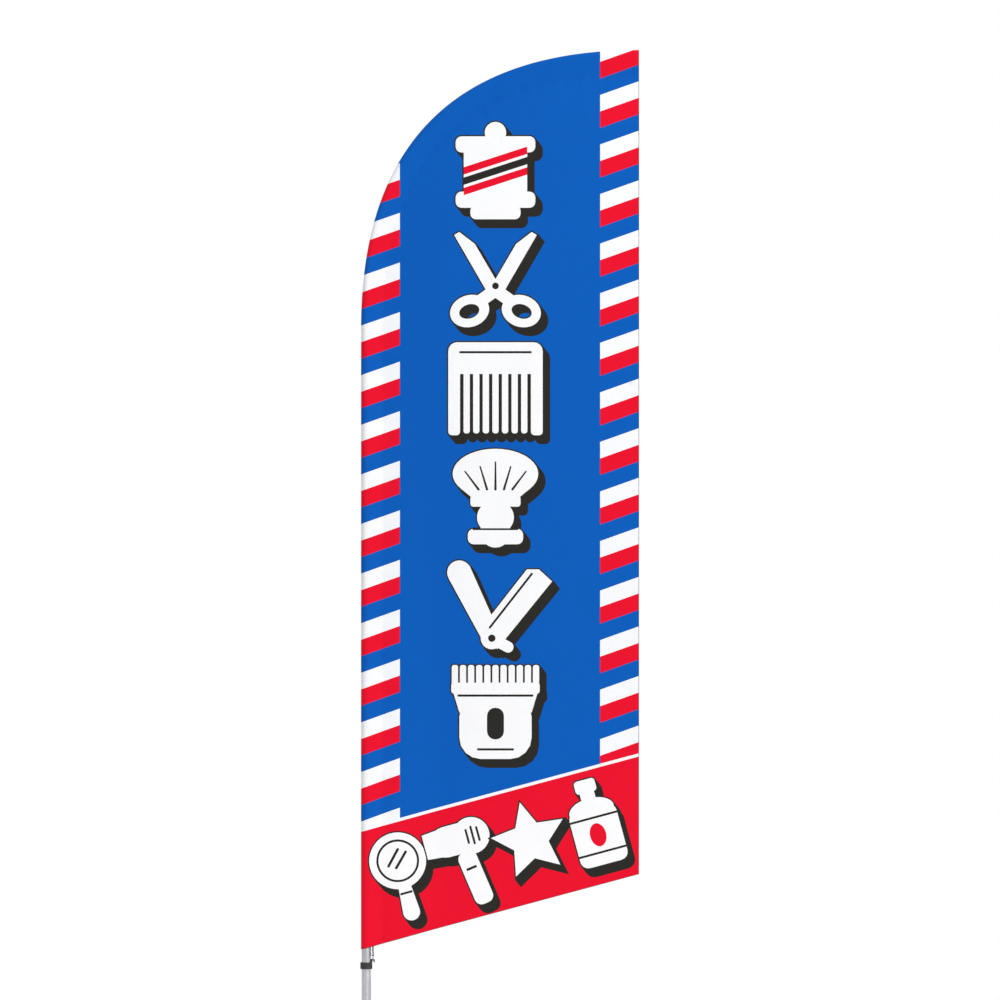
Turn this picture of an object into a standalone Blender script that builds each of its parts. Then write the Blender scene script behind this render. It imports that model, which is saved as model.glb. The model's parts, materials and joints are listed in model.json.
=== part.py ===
"""Feather flag on a sectional pole with a swivelling cross base.

Metres, +Z up. The origin is on the floor, on the pole's axis. The flag reaches out along +X,
and its printed face looks along -Y. Two flat bars cross under a hub. A ball bearing in the hub
carries a spindle, the pole's sections stand on that spindle, and the flag's sleeve is drawn
over them. The flag's outer edge is straight beside the tubes and then one cubic curve, and the
flexible rods follow it to the tip.
"""
import math

import bmesh
import bpy
from mathutils import Vector

for old in list(bpy.data.objects):
    bpy.data.objects.remove(old)

# ---------------------------------------------------------------- driving sizes
GAP = 0.0003  # between two pieces that touch

FLAG_HEIGHT = 2.438
FLAG_WIDTH = 0.7535
FLAG_BOTTOM = 0.40  # height of the flag's lower corner above the floor
BOTTOM_RISE = 0.207  # how much higher the bottom edge ends at the trailing edge
STRAIGHT_EDGE = 1.683  # straight run of the outer edge, before the curve
CURVE_UP = 0.380  # Bezier handle at the foot of the curve
CURVE_OUT = 0.606  # Bezier handle at the tip
CLOTH = 0.0008  # the panel's thickness
SLEEVE_CLOTH = 0.001
SLEEVE_WIDTH = 0.060  # from the outer edge to the seam
SLEEVE_EASE = 0.0009  # between the sleeve and what fills it
SEAM_HALF = 0.0012  # half the thickness of the sleeve where it closes at the seam
SEAM_ALLOWANCE = 0.010  # sewn flat beside the seam

TUBE_R = 0.0125
TUBE_WALL = 0.0015
SPIGOT_LENGTH = 0.100
SPIGOT_WALL = 0.0012
LOWER_TUBE_LENGTH = 1.000
MIDDLE_TUBE_LENGTH = 0.900
ROD_R = 0.0065
ROD_TIP_R = 0.0032
FERRULE_WALL = 0.0012
FERRULE_LENGTH = 0.100
FERRULE_MIDDLE = 2.215  # place of the rods' joint, measured along the flag's outer edge
BUSH_DEPTH = 0.050
BUSH_LIP = 0.006
BUSH_FLOOR = 0.006
TIP_CAP_WALL = 0.0013
TIP_CAP_LENGTH = 0.020
TIP_SPACE = 0.008  # from the tip cap to the sleeve's sewn end
POCKET_WALL = 0.0008
POCKET_LENGTH = 0.034

BUTTON_R = 0.0039
BUTTON_STANDS_OUT = 0.0030
SPRING_THICK = 0.0008
SPRING_WIDE = 0.008

BAR_WIDTH = 0.045
BAR_THICK = 0.005
LOWER_BAR_LENGTH = 0.760
UPPER_BAR_LENGTH = 0.880
BAR_TURN = math.radians(45)
FOOT_HEIGHT = 0.006  # of the pads under the lower bar
FOOT_R = 0.018
FOOT_STEM_R = 0.004
FOOT_HEAD_R = 0.0065
FOOT_HEAD = 0.001
WASHER_THICK = 0.001
WASHER_R = 0.022

HUB_WALL = 0.0067
HUB_FLANGE_OUT = 0.011  # how far the flange stands out from the hub's wall
HUB_FLANGE = 0.005
HUB_FLOOR = 0.010
NUT_ROOM = 0.0125  # height of the space under the bearing
NUT_FLATS = 0.016
NUT_HEIGHT = 0.008
BEARING_R = 0.014
BEARING_BORE_R = 0.0061
BEARING_WIDTH = 0.009
RACE_WALL = 0.0028
BALL_R = 0.0024
BALLS = 8
CAP_LID = 0.0035
CAP_SPIGOT = 0.0028
RUNNING = 0.001  # gap under the turning flange
FLANGE_LIP = 0.0065  # how far the flange stands out from the tube's side
FLANGE_THICK = 0.005
SPINDLE_EASE = 0.0009  # between the spindle and the tube's bore
SPINDLE_LENGTH = 0.180
O_RING_THICK = 0.0016
O_RING_SINK = 0.0010
BOLT_R = 0.005
BOLT_HEAD_R = 0.0085
BOLT_HEAD = 0.0035

TAB_OFF_TUBE = 0.0055  # from the tube's side to the tab's middle plane
TAB_THICK = 0.0016
TAB_INSIDE = 0.045  # how far the tab reaches up into the sleeve
TAB_OUTSIDE = 0.016
RING_WIRE_R = 0.0015
COLLAR_WALL = 0.0035
COLLAR_HEIGHT = 0.018
HOOK_WIRE = 0.0035  # thickness of the hook over the ring
SCREW_R = 0.0025
KNOB_R = 0.008
KNOB_THICK = 0.008

# ---------------------------------------------------------------- worked-out places
HUB_R = BEARING_R + GAP + HUB_WALL
HUB_FLANGE_R = HUB_R + HUB_FLANGE_OUT
TUBE_BORE = TUBE_R - TUBE_WALL
SPIGOT_R = TUBE_BORE - GAP
SPINDLE_R = TUBE_BORE - SPINDLE_EASE
FLANGE_R = TUBE_R + FLANGE_LIP
LOWER_BAR_Z = FOOT_HEIGHT
WASHER_Z = LOWER_BAR_Z + BAR_THICK + GAP
UPPER_BAR_Z = WASHER_Z + WASHER_THICK + GAP
HUB_Z = UPPER_BAR_Z + BAR_THICK + GAP
BEARING_Z = HUB_Z + HUB_FLOOR + NUT_ROOM
CAP_Z = BEARING_Z + GAP + BEARING_WIDTH + GAP  # underside of the cap's spigot
HUB_TOP = CAP_Z + CAP_SPIGOT - GAP
CAP_TOP = HUB_TOP + GAP + CAP_LID
FLANGE_Z = CAP_TOP + RUNNING
TUBE_Z = FLANGE_Z + FLANGE_THICK + GAP
LOWER_TUBE_TOP = TUBE_Z + LOWER_TUBE_LENGTH
MIDDLE_TUBE_Z = LOWER_TUBE_TOP + GAP
MIDDLE_TUBE_TOP = MIDDLE_TUBE_Z + MIDDLE_TUBE_LENGTH
BUTTON_Z = LOWER_TUBE_TOP - SPIGOT_LENGTH / 2
FERRULE_R = ROD_R + GAP + FERRULE_WALL
CAP_R = ROD_TIP_R + GAP + TIP_CAP_WALL
POCKET_R = CAP_R + GAP + POCKET_WALL
TUBE_NOSE = TUBE_R + SLEEVE_EASE + SLEEVE_CLOTH
EDGE_X = -TUBE_NOSE
TRAILING_X = EDGE_X + FLAG_WIDTH
TOP_Z = FLAG_BOTTOM + FLAG_HEIGHT
CURVE_Z = FLAG_BOTTOM + STRAIGHT_EDGE


# ---------------------------------------------------------------- materials
def finish(name, colour, roughness, metallic=0.0):
    """A Principled material of one colour."""
    made = bpy.data.materials.new(name)
    made.use_nodes = True
    shader = made.node_tree.nodes["Principled BSDF"]
    shader.inputs["Base Color"].default_value = (*colour, 1.0)
    shader.inputs["Roughness"].default_value = roughness
    shader.inputs["Metallic"].default_value = metallic
    made.diffuse_color = (*colour, 1.0)
    return made


PRINTED_CLOTH = finish("printed_cloth", (0.0, 0.107, 0.485), 0.8)
WEBBING = finish("webbing", (0.02, 0.02, 0.022), 0.85)
ALUMINIUM = finish("aluminium", (0.80, 0.81, 0.83), 0.32, 1.0)
FIBREGLASS = finish("fibreglass", (0.86, 0.86, 0.83), 0.45)
POWDER_COAT = finish("powder_coat", (0.022, 0.022, 0.024), 0.5)
STEEL = finish("steel", (0.62, 0.63, 0.65), 0.28, 1.0)
CHROME = finish("chrome", (0.85, 0.86, 0.88), 0.12, 1.0)
RUBBER = finish("rubber", (0.016, 0.016, 0.016), 0.85)
NYLON = finish("nylon", (0.03, 0.03, 0.032), 0.5)


# ---------------------------------------------------------------- mesh helpers
def add_object(name, mesh_data, material, smooth_angle=40):
    """Links an object and shades its round faces smooth."""
    piece = bpy.data.objects.new(name, mesh_data)
    bpy.context.scene.collection.objects.link(piece)
    mesh_data.materials.append(material)
    if isinstance(mesh_data, bpy.types.Mesh):
        mesh_data.shade_smooth()
        mesh_data.set_sharp_from_angle(angle=math.radians(smooth_angle))
    return piece


def from_bmesh(name, work, material):
    """Closes off a bmesh as an object with its faces pointing out."""
    bmesh.ops.remove_doubles(work, verts=work.verts, dist=1e-6)
    bmesh.ops.recalc_face_normals(work, faces=work.faces)
    if work.calc_volume(signed=True) < 0:
        bmesh.ops.reverse_faces(work, faces=work.faces)
    mesh = bpy.data.meshes.new(name)
    work.to_mesh(mesh)
    work.free()
    return add_object(name, mesh, material)


def turned(name, profile, material, steps=32):
    """Spins a closed profile of (radius, height) points about the Z axis."""
    work = bmesh.new()
    corners = [work.verts.new((r, 0.0, z)) for r, z in profile]
    pairs = zip(corners, corners[1:] + corners[:1])
    edges = [
        work.edges.new(pair)
        for pair in pairs
        if max(abs(vert.co.x) for vert in pair) > 1e-9
    ]
    bmesh.ops.spin(
        work,
        geom=corners + edges,
        cent=(0.0, 0.0, 0.0),
        axis=(0.0, 0.0, 1.0),
        angle=2 * math.pi,
        steps=steps,
        use_merge=True,
    )
    return from_bmesh(name, work, material)


def ring_profile(inner, outer, low, high, bevel=0.0):
    """A rectangle between two radii, with its outer corners cut by bevel."""
    if bevel:
        return [
            (inner, low),
            (outer - bevel, low),
            (outer, low + bevel),
            (outer, high - bevel),
            (outer - bevel, high),
            (inner, high),
        ]
    return [(inner, low), (outer, low), (outer, high), (inner, high)]


def cutter(piece):
    """Marks an object as a tool that shows in no render."""
    piece.hide_render = True
    piece.display_type = "WIRE"
    return piece


def boolean(piece, other, operation="DIFFERENCE"):
    """Adds a Boolean modifier that uses other."""
    modifier = piece.modifiers.new(operation.lower() + "_" + other.name, "BOOLEAN")
    modifier.operation = operation
    modifier.object = other


def cylinder(name, radius, start, end, material, steps=32):
    """A round bar from start to end."""
    start, end = Vector(start), Vector(end)
    work = bmesh.new()
    bmesh.ops.create_cone(
        work,
        cap_ends=True,
        segments=steps,
        radius1=radius,
        radius2=radius,
        depth=(end - start).length,
    )
    piece = from_bmesh(name, work, material)
    piece.location = (start + end) / 2
    piece.rotation_euler = (end - start).to_track_quat("Z", "Y").to_euler()
    return piece


def extruded(name, outline, low, high, material):
    """A prism over an outline of (x, y) points, from one height to another."""
    work = bmesh.new()
    base = work.faces.new([work.verts.new((x, y, low)) for x, y in outline])
    grown = bmesh.ops.extrude_face_region(work, geom=[base])["geom"]
    lifted = [item for item in grown if isinstance(item, bmesh.types.BMVert)]
    bmesh.ops.translate(work, verts=lifted, vec=(0.0, 0.0, high - low))
    return from_bmesh(name, work, material)


def arc(centre, radius, start, end, steps):
    """Points on an arc, in degrees, both ends included."""
    angles = [math.radians(start + (end - start) * i / steps) for i in range(steps + 1)]
    return [(centre[0] + radius * math.cos(a), centre[1] + radius * math.sin(a)) for a in angles]


# ---------------------------------------------------------------- the flag's outer edge
def bezier(share):
    """A point of the curved edge as (x, z), from its foot at 0 to the tip at 1."""
    foot = Vector((EDGE_X, CURVE_Z))
    above = Vector((EDGE_X, CURVE_Z + CURVE_UP))
    before = Vector((TRAILING_X - CURVE_OUT, TOP_Z))
    tip = Vector((TRAILING_X, TOP_Z))
    rest = 1 - share
    return (
        rest**3 * foot
        + 3 * rest**2 * share * above
        + 3 * rest * share**2 * before
        + share**3 * tip
    )


CURVE_SAMPLES = [bezier(i / 400) for i in range(401)]
CURVE_LENGTHS = [0.0]
for one, two in zip(CURVE_SAMPLES, CURVE_SAMPLES[1:]):
    CURVE_LENGTHS.append(CURVE_LENGTHS[-1] + (two - one).length)
EDGE_LENGTH = STRAIGHT_EDGE + CURVE_LENGTHS[-1]


def edge_place(along):
    """The outer edge at a distance from its lower corner: (point, tangent) in x and z."""
    if along <= STRAIGHT_EDGE:
        return Vector((EDGE_X, FLAG_BOTTOM + along)), Vector((0.0, 1.0))
    left = min(along - STRAIGHT_EDGE, CURVE_LENGTHS[-1])
    upper = next(i for i, length in enumerate(CURVE_LENGTHS) if length >= left)
    upper = max(upper, 1)
    low, high = CURVE_LENGTHS[upper - 1], CURVE_LENGTHS[upper]
    share = (left - low) / (high - low)
    chord = CURVE_SAMPLES[upper] - CURVE_SAMPLES[upper - 1]
    return CURVE_SAMPLES[upper - 1] + share * chord, chord.normalized()


def inward(tangent):
    """The direction in x and z from the outer edge into the flag."""
    return Vector((tangent.y, -tangent.x))


TUBE_END = MIDDLE_TUBE_TOP - FLAG_BOTTOM  # the middle tube's top, along the edge
NOSE_STAGES = [
    (TUBE_END + BUSH_LIP + 0.02, TUBE_NOSE),
    (TUBE_END + 0.36, FERRULE_R + SLEEVE_EASE + SLEEVE_CLOTH),
    (FERRULE_MIDDLE + FERRULE_LENGTH, FERRULE_R + SLEEVE_EASE + SLEEVE_CLOTH),
    (EDGE_LENGTH, POCKET_R + SLEEVE_EASE + SLEEVE_CLOTH),
]


def nose(along):
    """The sleeve's outer radius round the pole, which shrinks smoothly with the pole."""
    if along <= NOSE_STAGES[0][0]:
        return NOSE_STAGES[0][1]
    for (start, first), (end, last) in zip(NOSE_STAGES, NOSE_STAGES[1:]):
        if along <= end:
            share = (along - start) / (end - start)
            return first + (last - first) * share * share * (3 - 2 * share)
    return NOSE_STAGES[-1][1]


def pole_place(along):
    """The pole's centre at a distance along the edge, with the tangent and inward directions."""
    point, tangent = edge_place(along)
    across = inward(tangent)
    centre = point + nose(along) * across
    return (
        Vector((centre.x, 0.0, centre.y)),
        Vector((tangent.x, 0.0, tangent.y)),
        Vector((across.x, 0.0, across.y)),
    )


def stations(start, end, straight_step, curved_step):
    """Distances along the edge, close together only where it bends."""
    bend = TUBE_END + BUSH_LIP
    found = [start]
    if start < bend < end:
        count = max(1, round((bend - start) / straight_step))
        found += [start + (bend - start) * (i + 1) / count for i in range(count)]
    first = found[-1]
    count = max(1, round((end - first) / curved_step))
    found += [first + (end - first) * (i + 1) / count for i in range(count)]
    return found


# ---------------------------------------------------------------- swept pieces
def swept_shell(name, rings, material, open_start=True, open_end=True):
    """Skins pairs of outer and inner rings. An open end gets an annular face between the two
    rings; a closed end gets a plain face on each of them."""
    work = bmesh.new()
    outer = [[work.verts.new(point) for point in pair[0]] for pair in rings]
    inner = [[work.verts.new(point) for point in pair[1]] for pair in rings]
    for loops in (outer, inner):
        for one, two in zip(loops, loops[1:]):
            for i in range(len(one)):
                j = (i + 1) % len(one)
                work.faces.new((one[i], one[j], two[j], two[i]))
    for is_open, end in ((open_start, 0), (open_end, -1)):
        if is_open:
            count = len(outer[end])
            for i in range(count):
                j = (i + 1) % count
                work.faces.new((outer[end][i], outer[end][j], inner[end][j], inner[end][i]))
        else:
            work.faces.new(outer[end])
            work.faces.new(inner[end])
    return from_bmesh(name, work, material)


def nose_lean(radius, reach, half):
    """The angle where a line from the tail's corner touches the round nose."""
    tail = Vector((reach, half))
    return math.atan2(tail.y, tail.x) + math.acos(min(1.0, radius / tail.length))


def teardrop(radius, reach, half, steps=12):
    """A closed outline of (across, y) points round the pole: a round nose on the outer side,
    drawn in to a thin tail at reach. half is the tail's half thickness."""
    first = math.degrees(nose_lean(radius, reach, half))
    nose_arc = arc((0.0, 0.0), radius, first, 360 - first, steps)
    return [(reach, half)] + nose_arc + [(reach, -half)]


def placed(outline, centre, across, shift=None):
    """Puts an outline of (across, y) points on the pole at centre. shift adds a move that
    depends on the across value."""
    found = []
    for a, y in outline:
        point = centre + a * across + Vector((0.0, y, 0.0))
        found.append(point + shift(a) if shift else point)
    return found


def circle(radius, steps=16):
    """A closed round outline of (across, y) points."""
    return arc((0.0, 0.0), radius, 0, 360 - 360 / steps, steps - 1)


def rod(name, start, end, start_r, end_r, material, step=0.025):
    """A solid round rod along the pole's line, tapering from one radius to the other."""
    curve = bpy.data.curves.new(name, "CURVE")
    curve.dimensions = "3D"
    curve.bevel_depth = start_r
    curve.bevel_resolution = 2
    curve.use_fill_caps = True
    places = stations(start, end, 0.2, step)
    spline = curve.splines.new("POLY")
    spline.points.add(len(places) - 1)
    for point, along in zip(spline.points, places):
        share = (along - start) / (end - start)
        point.co = (*pole_place(along)[0], 1.0)
        point.radius = 1 + (end_r / start_r - 1) * share
    return add_object(name, curve, material)


# ---------------------------------------------------------------- cross base
def bar_ends(length, turn):
    """The two foot places of a bar, by letter, as (x, y)."""
    out = length / 2 - BAR_WIDTH / 2
    return {
        letter: (side * out * math.cos(turn), side * out * math.sin(turn))
        for letter, side in (("a", 1), ("b", -1))
    }


def flat_bar(name, length, low, turn):
    """A steel flat bar with round ends, a centre hole and a hole for each foot, turned about
    the pole's axis."""
    half, side = length / 2 - BAR_WIDTH / 2, BAR_WIDTH / 2
    outline = arc((half, 0.0), side, -90, 90, 10) + arc((-half, 0.0), side, 90, 270, 10)
    bar = extruded(name, outline, low, low + BAR_THICK, POWDER_COAT)
    bar.rotation_euler.z = turn
    holes = {"centre": ((0.0, 0.0), BOLT_R + GAP)}
    for letter, place in bar_ends(length, turn).items():
        holes["foot_" + letter] = (place, FOOT_STEM_R + GAP)
    for label, ((x, y), radius) in holes.items():
        drill = cylinder(
            f"{name}_{label}_drill",
            radius,
            (x, y, low - 0.01),
            (x, y, low + BAR_THICK + 0.01),
            STEEL,
            steps=24,
        )
        boolean(bar, cutter(drill))


def push_in_feet(name, bar_length, height, turn):
    """A bar's two rubber feet. Each has a pad under the bar, a stem through it and a low head
    on top, low enough for the other bar to pass over it."""
    top = height + BAR_THICK + GAP
    profile = [
        (0.0, 0.0),
        (FOOT_R - 0.001, 0.0),
        (FOOT_R, 0.001),
        (FOOT_R - 0.001, height - GAP),
        (FOOT_STEM_R, height - GAP),
        (FOOT_STEM_R, top),
        (FOOT_HEAD_R, top),
        (FOOT_HEAD_R - 0.0006, top + FOOT_HEAD),
        (0.0, top + FOOT_HEAD),
    ]
    for letter, (x, y) in bar_ends(bar_length, turn).items():
        foot = turned(f"{name}_{letter}", profile, RUBBER, steps=24)
        foot.location = (x, y, 0.0)


flat_bar("lower_cross_bar", LOWER_BAR_LENGTH, LOWER_BAR_Z, BAR_TURN)
flat_bar("upper_cross_bar", UPPER_BAR_LENGTH, UPPER_BAR_Z, -BAR_TURN)
push_in_feet("lower_bar_foot", LOWER_BAR_LENGTH, LOWER_BAR_Z, BAR_TURN)
push_in_feet("upper_bar_foot", UPPER_BAR_LENGTH, UPPER_BAR_Z, -BAR_TURN)
turned(
    "bar_washer",
    ring_profile(BOLT_R + GAP, WASHER_R, WASHER_Z, WASHER_Z + WASHER_THICK),
    NYLON,
)

# A soft pad closes the recess under the bolt's head and rests on the floor.
HEAD_Z = LOWER_BAR_Z - GAP - BOLT_HEAD
PAD_R = BAR_WIDTH / 2 - 0.001
turned(
    "centre_pad",
    [
        (0.0, 0.0),
        (PAD_R, 0.0),
        (PAD_R, LOWER_BAR_Z - GAP),
        (BOLT_HEAD_R + GAP, LOWER_BAR_Z - GAP),
        (BOLT_HEAD_R + GAP, HEAD_Z - GAP),
        (0.0, HEAD_Z - GAP),
    ],
    RUBBER,
)
BOLT_TOP = HUB_Z + HUB_FLOOR - 0.001
turned(
    "centre_bolt",
    [
        (0.0, HEAD_Z),
        (BOLT_HEAD_R - 0.0005, HEAD_Z),
        (BOLT_HEAD_R, HEAD_Z + 0.0005),
        (BOLT_HEAD_R, HEAD_Z + BOLT_HEAD),
        (BOLT_R, HEAD_Z + BOLT_HEAD),
        (BOLT_R, BOLT_TOP - 0.001),
        (BOLT_R - 0.001, BOLT_TOP),
        (0.0, BOLT_TOP),
    ],
    STEEL,
    steps=24,
)

# The hub is one turned cup: a flange on the bars, a bolt hole, room for the nut, a bearing seat.
SEAT_R = BEARING_R + GAP
NUT_ROOM_R = NUT_FLATS / 2 / math.cos(math.radians(30)) + 0.001
turned(
    "hub",
    [
        (BOLT_R + GAP, HUB_Z),
        (HUB_FLANGE_R - 0.001, HUB_Z),
        (HUB_FLANGE_R, HUB_Z + 0.001),
        (HUB_FLANGE_R, HUB_Z + HUB_FLANGE),
        (HUB_R + 0.002, HUB_Z + HUB_FLANGE + 0.001),
        (HUB_R, HUB_Z + HUB_FLANGE + 0.003),
        (HUB_R, HUB_TOP - 0.001),
        (HUB_R - 0.001, HUB_TOP),
        (SEAT_R, HUB_TOP),
        (SEAT_R, BEARING_Z),
        (NUT_ROOM_R, BEARING_Z),
        (NUT_ROOM_R, HUB_Z + HUB_FLOOR),
        (BOLT_R + GAP, HUB_Z + HUB_FLOOR),
    ],
    POWDER_COAT,
    steps=40,
)
SHOULDER_R = BEARING_BORE_R + RACE_WALL - 0.0012
turned(
    "hub_cap",
    [
        (SHOULDER_R + 0.0006, CAP_Z),
        (SEAT_R - GAP, CAP_Z),
        (SEAT_R - GAP, HUB_TOP + GAP),
        (HUB_R, HUB_TOP + GAP),
        (HUB_R, CAP_TOP - 0.001),
        (HUB_R - 0.001, CAP_TOP),
        (SHOULDER_R + 0.0006, CAP_TOP),
    ],
    POWDER_COAT,
    steps=40,
)

# ---------------------------------------------------------------- ball bearing
RACE_LOW, RACE_HIGH = BEARING_Z + GAP, BEARING_Z + GAP + BEARING_WIDTH
RACE_MIDDLE = (RACE_LOW + RACE_HIGH) / 2
PITCH_R = (BEARING_R + BEARING_BORE_R) / 2
GROOVE_R = BALL_R + GAP


def groove(side, steps=6):
    """The ball track in a race: side 1 is cut into the outer race, -1 into the inner one."""
    wall = BEARING_R - RACE_WALL if side > 0 else BEARING_BORE_R + RACE_WALL
    half = math.degrees(math.acos(abs(wall - PITCH_R) / GROOVE_R))
    if side > 0:
        return arc((PITCH_R, RACE_MIDDLE), GROOVE_R, half, -half, steps)
    return arc((PITCH_R, RACE_MIDDLE), GROOVE_R, 180 + half, 180 - half, steps)


OUTER_BORE = BEARING_R - RACE_WALL
turned(
    "bearing_outer_race",
    [(OUTER_BORE, RACE_HIGH)]
    + groove(1)
    + [(OUTER_BORE, RACE_LOW), (BEARING_R, RACE_LOW), (BEARING_R, RACE_HIGH)],
    STEEL,
)
INNER_OUT = BEARING_BORE_R + RACE_WALL
turned(
    "bearing_inner_race",
    [(INNER_OUT, RACE_LOW)]
    + groove(-1)
    + [(INNER_OUT, RACE_HIGH), (BEARING_BORE_R, RACE_HIGH), (BEARING_BORE_R, RACE_LOW)],
    STEEL,
    steps=24,
)


def ball_cage():
    """A thin cage ring with its balls joined to it, as one solid."""
    half_wall = (BEARING_R - RACE_WALL - INNER_OUT) / 2 - 0.0006
    cage = turned(
        "ball_cage",
        ring_profile(
            PITCH_R - half_wall,
            PITCH_R + half_wall,
            RACE_MIDDLE - BALL_R * 0.8,
            RACE_MIDDLE + BALL_R * 0.8,
        ),
        STEEL,
    )
    for i in range(BALLS):
        angle = 2 * math.pi * i / BALLS
        work = bmesh.new()
        bmesh.ops.create_uvsphere(work, u_segments=10, v_segments=7, radius=BALL_R)
        ball = from_bmesh(f"ball_{i}", work, STEEL)
        ball.location = (PITCH_R * math.cos(angle), PITCH_R * math.sin(angle), RACE_MIDDLE)
        boolean(cage, cutter(ball), "UNION")


ball_cage()

# ---------------------------------------------------------------- spindle
JOURNAL_R = BEARING_BORE_R - GAP
NUT_Z = BEARING_Z - NUT_HEIGHT
SPINDLE_FOOT = NUT_Z - 0.0015
SPINDLE_Z = FLANGE_Z + FLANGE_THICK
SPINDLE_TOP = SPINDLE_Z + SPINDLE_LENGTH
O_RING_HEIGHTS = [SPINDLE_Z + 0.030, SPINDLE_TOP - 0.025]
GROOVE_DEPTH_R = SPINDLE_R - O_RING_SINK


def spindle_profile():
    """The spindle's outline from its threaded foot to its chamfered top."""
    outline = [
        (0.0, SPINDLE_FOOT),
        (JOURNAL_R - 0.001, SPINDLE_FOOT),
        (JOURNAL_R, SPINDLE_FOOT + 0.001),
        (JOURNAL_R, RACE_HIGH + GAP),
        (SHOULDER_R, RACE_HIGH + GAP),
        (SHOULDER_R, FLANGE_Z),
        (FLANGE_R, FLANGE_Z),
        (FLANGE_R, FLANGE_Z + FLANGE_THICK - 0.001),
        (FLANGE_R - 0.001, SPINDLE_Z),
        (SPINDLE_R, SPINDLE_Z),
    ]
    half = O_RING_THICK / 2 + GAP / 2
    for height in O_RING_HEIGHTS:
        outline += [
            (SPINDLE_R, height - half),
            (GROOVE_DEPTH_R, height - half),
            (GROOVE_DEPTH_R, height + half),
            (SPINDLE_R, height + half),
        ]
    return outline + [
        (SPINDLE_R, SPINDLE_TOP - 0.004),
        (SPINDLE_R - 0.004, SPINDLE_TOP),
        (0.0, SPINDLE_TOP),
    ]


turned("spindle", spindle_profile(), CHROME)


def o_ring(name, height):
    """A rubber ring in a groove of the spindle, standing a little proud of it."""
    inner, outer = GROOVE_DEPTH_R + GAP, TUBE_BORE - GAP
    half, cut = O_RING_THICK / 2 - GAP / 2, 0.0004
    profile = [
        (inner, height - half + cut),
        (inner + cut, height - half),
        (outer - cut, height - half),
        (outer, height - half + cut),
        (outer, height + half - cut),
        (outer - cut, height + half),
        (inner + cut, height + half),
        (inner, height + half - cut),
    ]
    turned(name, profile, RUBBER, steps=24)


for label, height in zip(("o_ring_lower", "o_ring_upper"), O_RING_HEIGHTS):
    o_ring(label, height)


def hexagon(flats):
    """Corners of a hexagon by its width across flats."""
    radius = flats / 2 / math.cos(math.radians(30))
    return arc((0.0, 0.0), radius, 0, 300, 5)


nut = extruded("spindle_nut", hexagon(NUT_FLATS), NUT_Z, NUT_Z + NUT_HEIGHT, STEEL)
nut_drill = cylinder(
    "spindle_nut_drill",
    JOURNAL_R + GAP,
    (0.0, 0.0, NUT_Z - 0.01),
    (0.0, 0.0, NUT_Z + NUT_HEIGHT + 0.01),
    STEEL,
)
boolean(nut, cutter(nut_drill))

# ---------------------------------------------------------------- pole tubes
lower_tube = turned(
    "lower_tube",
    ring_profile(TUBE_BORE, TUBE_R, TUBE_Z, LOWER_TUBE_TOP, bevel=0.0004),
    ALUMINIUM,
)
SPIGOT_BORE = SPIGOT_R - SPIGOT_WALL
middle_tube = turned(
    "middle_tube",
    [
        (SPIGOT_BORE, MIDDLE_TUBE_Z - SPIGOT_LENGTH),
        (SPIGOT_R - 0.0006, MIDDLE_TUBE_Z - SPIGOT_LENGTH),
        (SPIGOT_R, MIDDLE_TUBE_Z - SPIGOT_LENGTH + 0.002),
        (SPIGOT_R, MIDDLE_TUBE_Z),
        (TUBE_R, MIDDLE_TUBE_Z),
        (TUBE_R, MIDDLE_TUBE_TOP),
        (TUBE_BORE, MIDDLE_TUBE_TOP),
        (TUBE_BORE, MIDDLE_TUBE_Z + 0.006),
        (SPIGOT_BORE, MIDDLE_TUBE_Z + 0.002),
    ],
    ALUMINIUM,
)
button_drill = cylinder(
    "button_drill",
    BUTTON_R + GAP,
    (0.0, 0.0, BUTTON_Z),
    (TUBE_R + 0.005, 0.0, BUTTON_Z),
    STEEL,
    steps=20,
)
cutter(button_drill)
boolean(lower_tube, button_drill)
boolean(middle_tube, button_drill)

# ---------------------------------------------------------------- snap button
LEAF_OUT = SPIGOT_BORE - 0.0012  # outer face of the leaf that carries the button
BUTTON_BACK = LEAF_OUT + GAP
BUTTON_FRONT = TUBE_R + BUTTON_STANDS_OUT
button = turned(
    "snap_button",
    [
        (0.0, 0.0),
        (BUTTON_R, 0.0),
        (BUTTON_R, BUTTON_FRONT - BUTTON_BACK - 0.0012),
        (BUTTON_R - 0.0016, BUTTON_FRONT - BUTTON_BACK),
        (0.0, BUTTON_FRONT - BUTTON_BACK),
    ],
    STEEL,
    steps=20,
)
button.location = (BUTTON_BACK, 0.0, BUTTON_Z)
button.rotation_euler.y = math.radians(90)


def button_spring():
    """A folded leaf spring: one leg against the far wall, one behind the button."""
    far = -(SPIGOT_BORE - 0.0016)
    bend = (LEAF_OUT + far) / 2
    radius = (LEAF_OUT - far) / 2
    top, bottom = BUTTON_Z + 0.010, BUTTON_Z - 0.030
    outer = [(LEAF_OUT, top)] + arc((bend, bottom), radius, 0, -180, 8) + [(far, top)]
    inner = arc((bend, bottom), radius - SPRING_THICK, -180, 0, 8)
    outline = outer + [(far + SPRING_THICK, top)] + inner + [(LEAF_OUT - SPRING_THICK, top)]
    leaf = extruded(
        "button_spring",
        outline,
        -SPRING_WIDE / 2,
        SPRING_WIDE / 2,
        STEEL,
    )
    leaf.rotation_euler.x = math.radians(90)


button_spring()

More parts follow.
